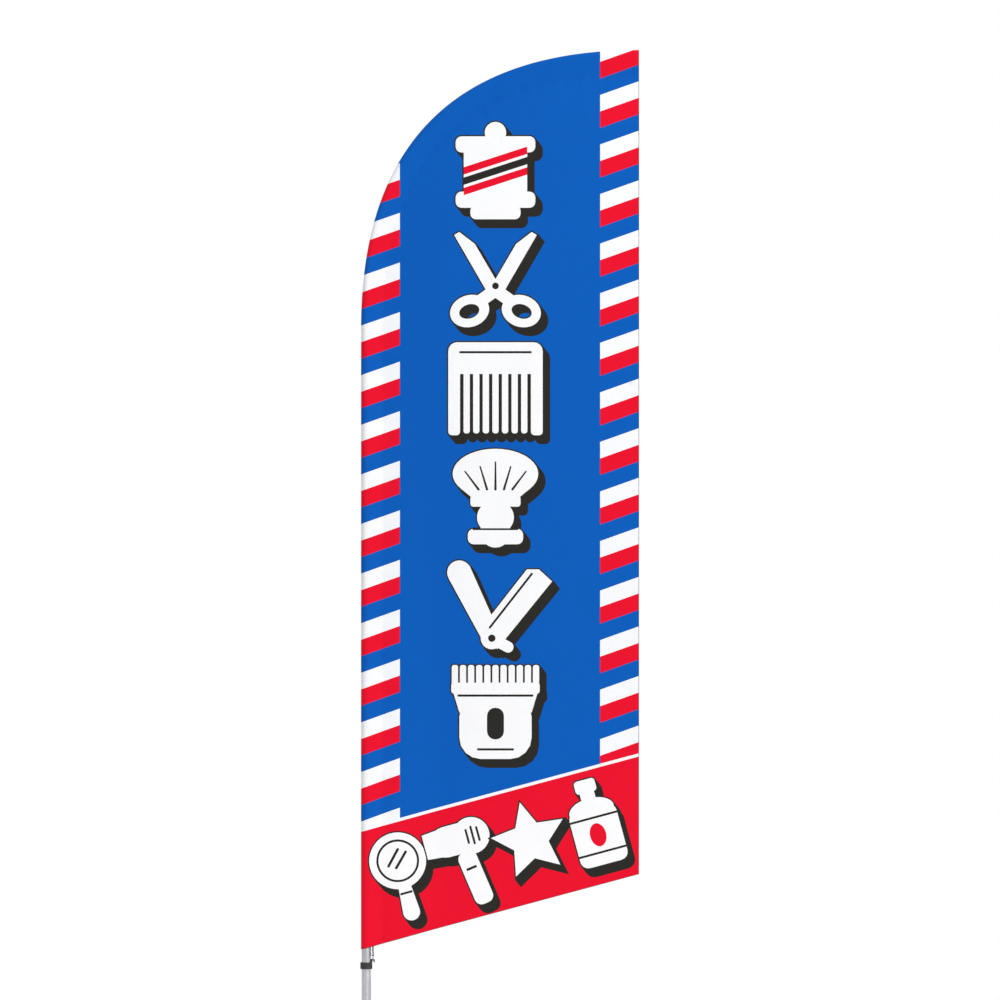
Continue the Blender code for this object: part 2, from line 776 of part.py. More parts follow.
# ---------------------------------------------------------------- rods and their fittings
ROD_START = TUBE_END - BUSH_DEPTH + BUSH_FLOOR + GAP
BUSH_LOW = MIDDLE_TUBE_TOP - BUSH_DEPTH
BUSH_BORE = ROD_R + GAP
turned(
    "reducer_bush",
    [
        (0.0, BUSH_LOW),
        (TUBE_BORE - GAP, BUSH_LOW),
        (TUBE_BORE - GAP, MIDDLE_TUBE_TOP + GAP),
        (TUBE_R, MIDDLE_TUBE_TOP + GAP),
        (TUBE_R, MIDDLE_TUBE_TOP + BUSH_LIP - 0.002),
        (TUBE_R - 0.002, MIDDLE_TUBE_TOP + BUSH_LIP),
        (BUSH_BORE, MIDDLE_TUBE_TOP + BUSH_LIP),
        (BUSH_BORE, BUSH_LOW + BUSH_FLOOR),
        (0.0, BUSH_LOW + BUSH_FLOOR),
    ],
    NYLON,
)
ROD_END = EDGE_LENGTH - TIP_SPACE - TIP_CAP_WALL - GAP
rod("upper_rod", ROD_START, FERRULE_MIDDLE - GAP, ROD_R, ROD_R, FIBREGLASS)
rod("tip_rod", FERRULE_MIDDLE + GAP, ROD_END, ROD_R, ROD_TIP_R, FIBREGLASS)

FERRULE_START = FERRULE_MIDDLE - FERRULE_LENGTH / 2
swept_shell(
    "rod_ferrule",
    [
        (
            placed(circle(FERRULE_R), pole_place(along)[0], pole_place(along)[2]),
            placed(circle(FERRULE_R - FERRULE_WALL), pole_place(along)[0], pole_place(along)[2]),
        )
        for along in [FERRULE_START + FERRULE_LENGTH * i / 8 for i in range(9)]
    ],
    ALUMINIUM,
)


def taper_radius(along):
    """The tip rod's radius at a distance along the edge."""
    share = (along - FERRULE_MIDDLE) / (ROD_END - FERRULE_MIDDLE)
    return ROD_R + (ROD_TIP_R - ROD_R) * share


def closed_cup(name, outer_outline, bore_radius, start, end, floor, material):
    """A cup along the pole's line, open at start: the bore stops floor short of end."""
    rings = []
    for along in (start, (start + end) / 2, end):
        centre, tangent, across = pole_place(along)
        back = min(along, end - floor)
        bore = placed(circle(bore_radius), pole_place(back)[0], pole_place(back)[2])
        rings.append((placed(outer_outline, centre, across), bore))
    return swept_shell(name, rings, material, open_end=False)


CAP_START = EDGE_LENGTH - TIP_SPACE - TIP_CAP_LENGTH
closed_cup(
    "tip_cap",
    circle(max(CAP_R, taper_radius(CAP_START) + GAP + TIP_CAP_WALL)),
    taper_radius(CAP_START) + GAP,
    CAP_START,
    EDGE_LENGTH - TIP_SPACE,
    TIP_CAP_WALL,
    RUBBER,
)

# ---------------------------------------------------------------- sleeve, pocket and panel
BOTTOM_SLOPE = BOTTOM_RISE / FLAG_WIDTH


def sleeve_ring(along, inset, end_inset=0.0):
    """One outline of the sleeve. inset 0 is its outside, SLEEVE_CLOTH its inside."""
    centre, tangent, across = pole_place(min(along, EDGE_LENGTH - end_inset))
    radius = nose(along)
    reach = SLEEVE_WIDTH - radius
    if inset:
        outline = teardrop(radius - inset, reach - SEAM_ALLOWANCE, SEAM_HALF * 0.4)
    else:
        outline = teardrop(radius, reach, SEAM_HALF)
    fade = max(0.0, 1 - along / 0.05)
    slant = lambda a: Vector((0.0, 0.0, BOTTOM_SLOPE * (a + radius) * fade))
    return placed(outline, centre, across, slant)


SLEEVE_STATIONS = [0.0, 0.05] + stations(0.25, EDGE_LENGTH, 0.45, 0.032)
swept_shell(
    "pole_sleeve",
    [
        (sleeve_ring(along, 0.0), sleeve_ring(along, SLEEVE_CLOTH, SLEEVE_CLOTH))
        for along in SLEEVE_STATIONS
    ],
    PRINTED_CLOTH,
    open_end=False,
)

POCKET_END = EDGE_LENGTH - SLEEVE_CLOTH - GAP
POCKET_CLEAR = max(CAP_R, taper_radius(CAP_START) + GAP + TIP_CAP_WALL) + GAP
closed_cup(
    "tip_pocket",
    circle(POCKET_CLEAR + POCKET_WALL),
    POCKET_CLEAR,
    POCKET_END - POCKET_LENGTH,
    POCKET_END,
    TIP_SPACE - SLEEVE_CLOTH - 2 * GAP,
    WEBBING,
)


def panel_outline():
    """The panel's corners in x and z: along the seam, down the trailing edge, back along the
    slanting bottom."""
    seam = SLEEVE_WIDTH + GAP
    found = []
    for along in SLEEVE_STATIONS:
        point, tangent = edge_place(along)
        found.append(point + seam * inward(tangent))
    found[0].y = FLAG_BOTTOM + BOTTOM_SLOPE * seam
    found.append(Vector((TRAILING_X, FLAG_BOTTOM + BOTTOM_RISE)))
    return [(p.x, p.y) for p in found]


panel = extruded("flag_panel", panel_outline(), -CLOTH / 2, CLOTH / 2, PRINTED_CLOTH)
panel.rotation_euler.x = math.radians(90)

# ---------------------------------------------------------------- tab, ring and hook
TAB_X = TUBE_R + TAB_OFF_TUBE
TAB_TURN_Z = FLAG_BOTTOM - TAB_OUTSIDE
TAB_EYE_R = RING_WIRE_R + GAP


def room_in_sleeve(out):
    """Half the room between the sleeve's two walls, out from the pole's axis."""
    radius = TUBE_NOSE - SLEEVE_CLOTH
    reach, half = SLEEVE_WIDTH - TUBE_NOSE - SEAM_ALLOWANCE, SEAM_HALF * 0.4
    lean = nose_lean(radius, reach, half)
    touch_out, touch_half = radius * math.cos(lean), radius * math.sin(lean)
    return half + (touch_half - half) * (reach - out) / (reach - touch_out)


TAB_WIDE = 2 * (room_in_sleeve(TAB_X + TAB_THICK + GAP / 2) - GAP)


def webbing_tab():
    """A strap doubled round the ring's bar: two legs, held together inside the sleeve."""
    outside = TAB_EYE_R + TAB_THICK
    top = FLAG_BOTTOM + TAB_INSIDE
    centre = (TAB_X, TAB_TURN_Z)
    loop = arc(centre, outside, 180, 360, 8)
    eye = arc(centre, TAB_EYE_R, 360, 180, 8)
    legs_meet = TAB_TURN_Z + 0.010
    outline = [(TAB_X - TAB_THICK - GAP / 2, top), (TAB_X - TAB_THICK - GAP / 2, legs_meet)]
    outline += loop
    outline += [(TAB_X + TAB_THICK + GAP / 2, legs_meet), (TAB_X + TAB_THICK + GAP / 2, top)]
    strap = extruded("webbing_tab", outline, -TAB_WIDE / 2, TAB_WIDE / 2, WEBBING)
    strap.rotation_euler.x = math.radians(90)
    eye_outline = eye + [(TAB_X, legs_meet)]
    hole = extruded("webbing_tab_eye", eye_outline, -TAB_WIDE, TAB_WIDE, WEBBING)
    hole.rotation_euler.x = math.radians(90)
    boolean(strap, cutter(hole))


webbing_tab()

RING_HALF = TAB_WIDE / 2 + 0.004  # half the width of the ring's straight bar
RING_DROP = 0.015
HOOK_HALF = 0.003  # half the hook's width, and half the flat at the ring's lower end


def tab_ring():
    """A wire ring: its straight bar lies in the tab, and its narrow lower end in the hook."""
    corner = 0.004
    low = TAB_TURN_Z - RING_DROP
    line = [(-RING_HALF + corner, TAB_TURN_Z), (RING_HALF - corner, TAB_TURN_Z)]
    line += arc((RING_HALF - corner, TAB_TURN_Z - corner), corner, 60, -30, 3)
    line += arc((HOOK_HALF, low + corner), corner, -30, -90, 2)
    line += arc((-HOOK_HALF, low + corner), corner, -90, -150, 2)
    line += arc((-RING_HALF + corner, TAB_TURN_Z - corner), corner, 210, 120, 3)
    curve = bpy.data.curves.new("tab_ring", "CURVE")
    curve.dimensions = "3D"
    curve.bevel_depth = RING_WIRE_R
    curve.bevel_resolution = 2
    spline = curve.splines.new("POLY")
    spline.points.add(len(line) - 1)
    spline.use_cyclic_u = True
    for point, (y, z) in zip(spline.points, line):
        point.co = (TAB_X, y, z, 1.0)
    return add_object("tab_ring", curve, CHROME)


tab_ring()

# The collar grips the lower tube; its hook opens downwards and holds the ring's point.
COLLAR_R = TUBE_R + GAP + COLLAR_WALL
RING_POINT_Z = TAB_TURN_Z - RING_DROP
HOOK_TOP = RING_POINT_Z + RING_WIRE_R + GAP + HOOK_WIRE
COLLAR_TOP = RING_POINT_Z - RING_WIRE_R - 0.002
COLLAR_LOW = COLLAR_TOP - COLLAR_HEIGHT


def hook_collar():
    """A nylon collar with an inverted hook on its inner side and a boss for the screw."""
    collar = turned(
        "hook_collar",
        ring_profile(0.0, COLLAR_R, COLLAR_LOW, COLLAR_TOP, bevel=0.0008),
        NYLON,
    )
    stem_in, stem_out = TUBE_R - 0.001, TAB_X - RING_WIRE_R - GAP * 2
    lip_in, lip_out = TAB_X + RING_WIRE_R + GAP * 2, TAB_X + RING_WIRE_R + GAP * 2 + 0.003
    under = HOOK_TOP - HOOK_WIRE
    outline = [
        (stem_in, COLLAR_LOW + 0.002),
        (stem_out, COLLAR_LOW + 0.002),
        (stem_out, under - 0.001),
        (stem_out + 0.001, under),
        (lip_in - 0.001, under),
        (lip_in, under - 0.001),
        (lip_in, under - 0.006),
        (lip_out, under - 0.005),
        (lip_out, HOOK_TOP - 0.002),
        (lip_out - 0.002, HOOK_TOP),
        (stem_in, HOOK_TOP),
    ]
    hook = extruded("hook_body", outline, -HOOK_HALF, HOOK_HALF, NYLON)
    hook.rotation_euler.x = math.radians(90)
    boss = cylinder(
        "screw_boss",
        0.0055,
        (0.0, TUBE_R + 0.0015, (COLLAR_LOW + COLLAR_TOP) / 2),
        (0.0, COLLAR_R + 0.004, (COLLAR_LOW + COLLAR_TOP) / 2),
        NYLON,
        steps=20,
    )
    bore = cylinder(
        "collar_bore",
        TUBE_R + GAP,
        (0.0, 0.0, COLLAR_LOW - 0.01),
        (0.0, 0.0, HOOK_TOP + 0.01),
        NYLON,
    )
    screw_hole = cylinder(
        "screw_hole",
        SCREW_R + GAP,
        (0.0, 0.0, (COLLAR_LOW + COLLAR_TOP) / 2),
        (0.0, COLLAR_R + 0.01, (COLLAR_LOW + COLLAR_TOP) / 2),
        NYLON,
        steps=20,
    )
    boolean(collar, cutter(hook), "UNION")
    boolean(collar, cutter(boss), "UNION")
    boolean(collar, cutter(bore))
    boolean(collar, cutter(screw_hole))


hook_collar()


def thumb_screw():
    """A screw with a fluted knob, which turns in the collar's boss and bears on the tube."""
    start, shank = TUBE_R + GAP, COLLAR_R + 0.004 + GAP - (TUBE_R + GAP)
    screw = turned(
        "collar_thumb_screw",
        [
            (0.0, 0.0),
            (SCREW_R - 0.0005, 0.0),
            (SCREW_R, 0.0005),
            (SCREW_R, shank),
            (KNOB_R - 0.001, shank),
            (KNOB_R, shank + 0.001),
            (KNOB_R, shank + KNOB_THICK - 0.0015),
            (KNOB_R - 0.0015, shank + KNOB_THICK),
            (0.0, shank + KNOB_THICK),
        ],
        NYLON,
        steps=24,
    )
    for i in range(6):
        angle = 2 * math.pi * (i + 0.5) / 6
        reach = KNOB_R + 0.0008
        at = (reach * math.cos(angle), reach * math.sin(angle))
        flute = cylinder(
            f"knob_flute_{i}",
            0.0022,
            (*at, shank - 0.002),
            (*at, shank + KNOB_THICK + 0.002),
            NYLON,
            steps=12,
        )
        flute.parent = screw
        boolean(screw, cutter(flute))
    screw.location = (0.0, start, (COLLAR_LOW + COLLAR_TOP) / 2)
    screw.rotation_euler.x = math.radians(-90)


thumb_screw()

# ---------------------------------------------------------------- what moves together
PIVOTS = {
    "bar_fold_axis": (None, ["upper_cross_bar", "upper_bar_foot_a", "upper_bar_foot_b"]),
    "cage_axis": (None, ["ball_cage"]),
    "swivel_axis": (
        None,
        ["bearing_inner_race", "spindle", "spindle_nut", "o_ring_lower", "o_ring_upper"],
    ),
    "pole_lift_axis": (
        "swivel_axis",
        [
            "lower_tube",
            "middle_tube",
            "button_spring",
            "snap_button",
            "reducer_bush",
            "upper_rod",
            "rod_ferrule",
            "tip_rod",
            "tip_cap",
            "tip_pocket",
            "pole_sleeve",
            "flag_panel",
            "webbing_tab",
            "tab_ring",
            "hook_collar",
            "collar_thumb_screw",
        ],
    ),
}


def gather(pivots):
    """Hangs each moving group on an empty that stands on its axis, the pole's own line."""
    for name, (carrier, members) in pivots.items():
        pivot = bpy.data.objects.new(name, None)
        bpy.context.scene.collection.objects.link(pivot)
        pivot.parent = bpy.data.objects[carrier] if carrier else None
        for member in members:
            bpy.data.objects[member].parent = pivot


gather(PIVOTS)
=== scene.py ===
# %% [markdown]
# # A feather flag on its pole
#
# A feather flag is one piece of thin printed cloth with a long sleeve along its outer edge. A
# sectional pole runs up the sleeve: two metal tubes below, and two flexible rods that bend
# over the top and keep the cloth stretched. The whole pole turns on a bearing in a folding
# base, so the flag swings with the wind.
#
# The hard pieces arrive finished as solids. This lesson gives them their surfaces, and makes
# from scratch what is soft: the cloth with its print, its hems and stitches, the strap that
# holds it down and the pocket at its tip.

# %% Load the finished solids
import json
import math

import bpy
import numpy as np
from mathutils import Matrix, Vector
from mathutils.geometry import delaunay_2d_cdt
from mathutils.kdtree import KDTree

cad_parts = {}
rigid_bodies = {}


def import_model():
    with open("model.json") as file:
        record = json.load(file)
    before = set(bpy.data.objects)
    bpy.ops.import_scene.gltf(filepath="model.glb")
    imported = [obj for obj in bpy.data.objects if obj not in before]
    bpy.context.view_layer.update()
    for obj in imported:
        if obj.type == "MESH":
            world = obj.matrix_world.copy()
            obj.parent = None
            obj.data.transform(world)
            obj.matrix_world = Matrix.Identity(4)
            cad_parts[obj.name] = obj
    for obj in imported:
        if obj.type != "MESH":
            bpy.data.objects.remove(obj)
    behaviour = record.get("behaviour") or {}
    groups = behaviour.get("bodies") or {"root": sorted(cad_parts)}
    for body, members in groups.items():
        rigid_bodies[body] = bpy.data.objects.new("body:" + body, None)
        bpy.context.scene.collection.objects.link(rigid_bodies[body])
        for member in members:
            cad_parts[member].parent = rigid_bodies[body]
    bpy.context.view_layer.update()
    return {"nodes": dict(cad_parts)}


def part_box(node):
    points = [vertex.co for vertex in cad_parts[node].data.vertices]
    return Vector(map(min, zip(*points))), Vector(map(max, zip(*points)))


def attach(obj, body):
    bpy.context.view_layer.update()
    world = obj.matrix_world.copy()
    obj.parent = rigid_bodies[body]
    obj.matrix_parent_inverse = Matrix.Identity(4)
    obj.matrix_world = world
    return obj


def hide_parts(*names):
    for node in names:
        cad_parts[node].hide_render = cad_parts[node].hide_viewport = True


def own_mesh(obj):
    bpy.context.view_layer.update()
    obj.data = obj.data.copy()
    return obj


for startup in list(bpy.data.objects):
    bpy.data.objects.remove(startup)
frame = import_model()


def link(name, data=None):
    """A new object in the scene."""
    made = bpy.data.objects.new(name, data)
    bpy.context.scene.collection.objects.link(made)
    return made


# %% [markdown]
# ## Where the cloth lies
#
# The flag's place and size, and the sleeve's width and radius, come from the solids themselves,
# so the cloth follows if they change. The outer edge's curve and the bottom edge's rise are given.
# Flag coordinates make the print easy to lay out: u runs to the right from the straight outer
# edge, and v runs up from the lowest corner, both in metres.

# %% Measure the flag's place
sleeve_low, sleeve_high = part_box("pole_sleeve")
panel_low, panel_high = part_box("flag_panel")
EDGE_X, BOTTOM_Z = sleeve_low.x, sleeve_low.z
WIDTH = panel_high.x - EDGE_X
HEIGHT = sleeve_high.z - BOTTOM_Z
SLEEVE = panel_low.x - EDGE_X  # the sleeve's width, up to the seam
NOSE_LOW = (sleeve_high.y - sleeve_low.y) / 2  # the sleeve's radius round the tubes
STRAIGHT = 1.683  # the outer edge is straight up to here, then one cubic curve
CURVE_UP = 0.380
CURVE_OUT = 0.606
BOTTOM_RISE = 0.2038
print(f"flag {WIDTH:.4f} x {HEIGHT:.4f} m, sleeve {SLEEVE * 1000:.1f} mm wide")

# %% [markdown]
# ## The outer edge as a line of points
#
# The curve is a cubic Bezier, the same kind that drawing programs use: two end points and two
# handles. Sampling it once into many short chords gives its length, the way along it and its
# inward direction at any place.

# %% Sample the outer edge
share = np.linspace(0, 1, 400)[:, None]
handles = np.array([[0, STRAIGHT], [0, STRAIGHT + CURVE_UP], [WIDTH - CURVE_OUT, HEIGHT], [WIDTH, HEIGHT]])
curve = (
    (1 - share) ** 3 * handles[0]
    + 3 * (1 - share) ** 2 * share * handles[1]
    + 3 * (1 - share) * share**2 * handles[2]
    + share**3 * handles[3]
)
edge = np.vstack([np.column_stack([np.zeros(200), np.linspace(0, STRAIGHT, 201)[:200]]), curve])
edge_steps = np.linalg.norm(np.diff(edge, axis=0), axis=1)
edge_along = np.concatenate([[0], np.cumsum(edge_steps)])
EDGE_LENGTH = float(edge_along[-1])
print(f"outer edge {EDGE_LENGTH:.3f} m long")


def edge_point(along):
    """Points on the outer edge at these distances from its foot."""
    return np.column_stack([np.interp(along, edge_along, edge[:, i]) for i in (0, 1)])


def edge_inward(along):
    """Unit directions from the outer edge into the cloth."""
    ahead = edge_point(np.minimum(along + 0.002, EDGE_LENGTH))
    run = ahead - edge_point(np.maximum(along - 0.002, 0))
    run /= np.linalg.norm(run, axis=1)[:, None]
    return np.column_stack([run[:, 1], -run[:, 0]])


def from_edge(places):
    """How far each (u, v) place lies inside the outer edge, and how far along it."""
    away, along = np.empty(len(places)), np.empty(len(places))
    for part in np.array_split(np.arange(len(places)), max(1, len(places) // 2000)):
        gap = places[part, None, :] - edge[None, :-1, :]
        run = np.diff(edge, axis=0) / edge_steps[:, None]
        reach = np.clip((gap * run).sum(2), 0, edge_steps)
        distance = np.linalg.norm(gap - reach[..., None] * run, axis=2)
        nearest = distance.argmin(1)
        away[part] = distance[np.arange(len(part)), nearest]
        along[part] = edge_along[nearest] + reach[np.arange(len(part)), nearest]
    return away, along


def bottom(u):
    """The slanting bottom edge."""
    return BOTTOM_RISE * u / WIDTH


# %% [markdown]
# ## Shapes for the print
#
# Printed cloth has perfectly sharp colour borders. A picture texture would blur them up close,
# and a long shader would have to work them out again at every ray. Here the print is cut into
# the mesh instead: each coloured shape is a polygon, and one triangulation splits the cloth
# along all of them at once. Convex shapes keep this simple, because a convex shape that slides
# sideways sweeps out a convex shape too, and that is all a block shadow is.

# %% Small drawing kit
DARK_RIM = 0.0038  # the dark rim round each white shape
SHADOW = np.array([0.0165, -0.0205])  # how far the block shadow slides, right and down
MM = 0.001


def disc(x, y, r, count=36):
    """A round shape, in millimetres."""
    turn = np.linspace(0, 2 * np.pi, count, endpoint=False)
    return np.column_stack([x + r * np.cos(turn), y + r * np.sin(turn)])


def oval(x, y, rx, ry, tilt=0):
    """An ellipse, in millimetres."""
    return turn_by(disc(0, 0, 1, 40) * [rx, ry], tilt) + [x, y]


def turn_by(points, degrees):
    """Points turned about the origin, anticlockwise."""
    a = math.radians(degrees)
    return np.array(points, float) @ np.array([[math.cos(a), math.sin(a)], [-math.sin(a), math.cos(a)]])


def hull(points):
    """The convex outline round a set of points, anticlockwise."""
    ordered = sorted(map(tuple, np.round(points, 7)))
    halves = []
    for row in (ordered, ordered[::-1]):
        chain = []
        for p in row:
            while len(chain) > 1 and (
                (chain[-1][0] - chain[-2][0]) * (p[1] - chain[-2][1])
                - (chain[-1][1] - chain[-2][1]) * (p[0] - chain[-2][0])
            ) <= 1e-12:
                chain.pop()
            chain.append(p)
        halves += chain[:-1]
    return np.array(halves)


def block(x, y, w, h, r=6, tilt=0):
    """A rectangle with rounded corners, in millimetres."""
    corners = [disc(sx * (w / 2 - r), sy * (h / 2 - r), r, 16) for sx in (-1, 1) for sy in (-1, 1)]
    return turn_by(hull(np.vstack(corners)), tilt) + [x, y]


def bar(a, b, r, r2=None):
    """A thick line with round ends, in millimetres. r2 is the radius at b."""
    return hull(np.vstack([disc(*a, r, 24), disc(*b, r if r2 is None else r2, 24)]))


def grow(points, by):
    """A convex outline pushed outwards, or inwards where by is negative."""
    ring = hull(points)
    side = np.roll(ring, -1, 0) - ring
    normal = np.column_stack([side[:, 1], -side[:, 0]]) / np.linalg.norm(side, axis=1)[:, None]
    before = np.roll(normal, 1, 0)
    mitre = (normal + before) / (1 + (normal * before).sum(1))[:, None]
    return ring + by * mitre


# %% [markdown]
# ## The signs on the flag
#
# A flag like this calls people in to a barber. These six signs for the tall field and four for
# the slanting band are made up for this model from plain tools of the trade. Each is a list of
# white shapes, holes through them, and thin marks on them.

# %% Marks on a sign
def dark(*shapes):
    return [(shape, "dark") for shape in shapes]


def red(*shapes):
    return [(shape, "red") for shape in shapes]


def paper(*shapes):
    return [(shape, "paper") for shape in shapes]


# %% Six signs for the tall field
def pole_sign():
    white = [disc(0, 104, 29), block(0, 72, 216, 44, 16), block(0, -2, 172, 124, 3)]
    white += [block(0, -78, 216, 44, 16), block(0, -112, 136, 38, 15)]
    stripe = lambda y: hull([(-86, y), (86, y + 56), (86, y + 76), (-86, y + 20)])
    return white, [], dark(stripe(-38)) + red(stripe(-66), stripe(-10))


def scissors_sign():
    white = [
        hull([(12, -20), (-24, -32), (-112, 120), (-98, 128), (-56, 96)]),
        hull([(-12, -20), (24, -32), (112, 120), (98, 128), (56, 96)]),
        bar((-8, -24), (46, -62), 17),
        bar((8, -24), (-46, -62), 17),
        oval(-70, -86, 54, 43, 18),
        oval(70, -86, 54, 43, -18),
    ]
    holes = [oval(-71, -87, 28, 19, 18), oval(71, -87, 28, 19, -18)]
    return white, holes, dark(disc(0, -18, 9))


def comb_sign():
    white = [block(0, 80, 256, 86, 24)]
    white += [block(side * 112, -22, 32, 214, 10) for side in (-1, 1)]
    white += [block(x, -24, 17, 200, 7) for x in range(-78, 79, 26)]
    return white, [], dark(block(0, 96, 196, 6, 2))


def brush_sign():
    white = [hull(np.vstack([oval(0, 60, 116, 68), [(-62, -6), (62, -6)]])), block(0, -14, 136, 30, 8)]
    white += [oval(0, -58, 50, 46), bar((0, -50), (0, -100), 40), block(0, -110, 150, 42, 16)]
    hairs = [bar((x, 18), (x * 1.8, 92 - abs(x) * 0.55), 3.2, 2.0) for x in (-46, -23, 0, 23, 46)]
    return white, [], dark(*hairs, block(0, -90, 124, 5, 2))


def razor_sign():
    pin = np.array([-10, -92])
    blade = lambda shape: turn_by(shape, 52) + pin
    white = [blade(hull([(-14, -30), (-10, 32), (30, 40), (206, 40), (226, 14), (222, -34)])), disc(*pin, 30)]
    white += [bar(pin, (-98, 86), 25, 33), bar(pin, (34, -116), 15)]
    return white, [], dark(blade(block(112, 22, 190, 6, 2)), disc(*pin, 10))


def clipper_sign():
    white = [block(0, -40, 196, 172, 58), hull([(-98, 0), (98, 0), (118, 66), (-118, 66)])]
    white += [block(0, 66, 240, 30, 8), *[block(x, 98, 17, 62, 6) for x in range(-110, 111, 22)]]
    return white, [], dark(block(0, -30, 46, 86, 22), block(0, 46, 206, 6, 2), block(0, -100, 100, 6, 2))


# %% Four signs for the band
def mirror_sign():
    white = [disc(0, 40, 77, 48), bar((0, -30), (0, -104), 17, 23)]
    shine = [bar((-28, 32), (8, 70), 3.5), bar((-9, 22), (27, 58), 3.5)]
    glass = dark(disc(0, 40, 58, 48)) + paper(disc(0, 40, 52, 48))
    return white, [], glass + dark(*shine, block(0, -50, 34, 6, 2))


def dryer_sign():
    white = [block(2, 54, 134, 84, 34), hull([(-88, 20), (-88, 88), (-44, 92), (-44, 16)]), disc(42, 54, 50)]
    white.append(turn_by(block(0, -60, 52, 150, 19), 8) + [16, 0])
    vents = [block(x, 54, 6, 52 - abs(x - 46) * 0.7, 3) for x in (31, 46, 61)]
    return white, [], dark(*vents, turn_by(block(0, -32, 30, 7, 3), 8) + [16, 0])


def star_sign():
    r = 106
    tips = [turn_by([(0, r)], 72 * i)[0] for i in range(5)]
    inner = [turn_by([(0, r * 0.48)], 72 * i + 36)[0] for i in range(5)]
    return [np.array([(0, 0), inner[i - 1], tips[i], inner[i]]) for i in range(5)], [], []


def bottle_sign():
    white = [block(0, 102, 58, 36, 9), block(0, 76, 40, 40, 4), block(0, -38, 132, 156, 22)]
    white.append(hull(np.vstack([oval(0, 34, 62, 34), [(-20, 66), (20, 66)]])))
    return white, [], dark(block(0, 14, 132, 6, 1), block(0, -82, 132, 6, 1)) + red(oval(0, -34, 22, 32))


# %% [markdown]
# ## Laying out the print
#
# Stripes in white, red and blue climb both borders, a plain blue field lies between them, and
# a red band crosses the foot under a thin white line. All of it is one list of layers, and the
# later layer wins wherever two of them overlap, as with sheets of coloured paper.

# %% Place every coloured shape
BORDER = 0.1055
PITCH = 0.13433  # from one white stripe to the next, measured up the edge
CLIMB = 0.3559  # how steeply the stripes rise to the right
FIRST_LEFT, FIRST_RIGHT = 0.3470, 0.3390  # top of the lowest white stripe, carried to u = 0
BAND_TOP = 0.3194
LINE_THICK = 0.0085
LEAN = math.degrees(math.atan(BOTTOM_RISE / WIDTH))  # the band's signs lean with the bottom edge
FIELD_MIDDLE, TOP_SIGN, SIGN_PITCH = 0.3645, 2.1100, 0.2936
BAND_MIDDLE = 0.172
CHORD = 0.014  # an edge longer than this gets points along it, so that it can bend with the cloth
layers = []


def lay(points, ink):
    """Adds one coloured shape, given as (u, v) corners in metres."""
    points = np.array(points, float)
    ring = []
    for start, end in zip(points, np.roll(points, -1, axis=0)):
        pieces = max(1, math.ceil(np.linalg.norm(end - start) / CHORD))
        ring.extend(start + (end - start) * i / pieces for i in range(pieces))
    layers.append((np.array(ring), ink))


def lay_stripes(left, right, first):
    """The slanting stripes between two upright lines, over the cloth's own blue."""
    for k in range(-3, 19):
        for ink, top in (("white", 0.0), ("red", PITCH / 3)):
            ends = [(u, first + PITCH * k - top + CLIMB * u) for u in (left, right)]
            drop = PITCH / 3 + (0.0004 if ink == "white" else 0.0)
            lay([*ends, *[(u, v - drop) for u, v in reversed(ends)]], ink)


def lay_sign(sign, at, tilt=0):
    """A sign with its dark rim and block shadow. The shadow slides the same way on every one."""
    white, holes, marks = sign
    place = lambda shape: turn_by(np.array(shape), tilt) * MM + at
    for shape in white:
        rim = grow(place(shape), DARK_RIM)
        lay(hull(np.vstack([rim, rim + SHADOW])), "dark")
    for shape in white:
        lay(place(shape), "paper")
    for shape, ink in marks:
        lay(place(shape), ink)
    for shape in holes:
        inner = grow(place(shape), -DARK_RIM)
        lay(place(shape), "dark")
        lay(inner, "hole")
        lay(inner + SHADOW, "hole_moved")


lay_stripes(-0.01, BORDER, FIRST_LEFT)
lay_stripes(WIDTH - BORDER, WIDTH + 0.01, FIRST_RIGHT)
slant = lambda v: [(-0.01, v + bottom(-0.01)), (WIDTH + 0.01, v + bottom(WIDTH + 0.01))]
lay(slant(BAND_TOP) + slant(BAND_TOP + LINE_THICK)[::-1], "white")
lay(slant(-0.1) + slant(BAND_TOP)[::-1], "red")
field_layers = len(layers)  # the layers so far are the ground that the signs lie on

tall_signs = (pole_sign, scissors_sign, comb_sign, brush_sign, razor_sign, clipper_sign)
for row, sign in enumerate(tall_signs):
    lay_sign(sign(), (FIELD_MIDDLE, TOP_SIGN - SIGN_PITCH * row))
for u, sign in ((0.110, mirror_sign), (0.272, dryer_sign), (0.458, star_sign), (0.634, bottle_sign)):
    lay_sign(sign(), (u, BAND_MIDDLE + bottom(u)), LEAN)
print(len(layers), "coloured shapes")

# %% [markdown]
# ## Cutting the cloth
#
# The triangulation takes loose points, lines and polygons, and returns triangles that never
# cross any of them, with a list of the polygons that each triangle lies in. The points are a
# fine even grid, so that the cloth can bend, and rows that follow the outer edge closely where
# it turns round the pole. The lines mark the seam and the hems.

# %% Points and lines of the cutting plan
HEM = 0.014
FOLD = 0.0012  # where a hem's fold has reached its full thickness, and the width of the edge's painted shade
SEAM_LAP = 0.009  # the sleeve's cloth runs on past the seam
ROW_STEP = 0.0125
along_rows = np.linspace(0, EDGE_LENGTH, round(EDGE_LENGTH / ROW_STEP) + 1)
nose_rows = [0.0006, 0.0022, 0.005, 0.009, 0.0145, 0.0215, 0.030, 0.040, 0.050]
nose_rows += [SLEEVE - 0.004, SLEEVE, SLEEVE + SEAM_LAP]
points, lines, polygons = [], [], []


def inside(places, margin=0.0):
    """Which places lie on the cloth, at least margin from its straight edges."""
    u, v = places[:, 0], places[:, 1]
    return (u <= WIDTH - margin + 1e-9) & (v >= bottom(u) + margin - 1e-9) & (u >= -1e-9)


def add_line(places):
    """A constraint line through places that lie on the cloth."""
    start = len(points)
    points.extend(map(tuple, places))
    lines.extend((start + i, start + i + 1) for i in range(len(places) - 1))


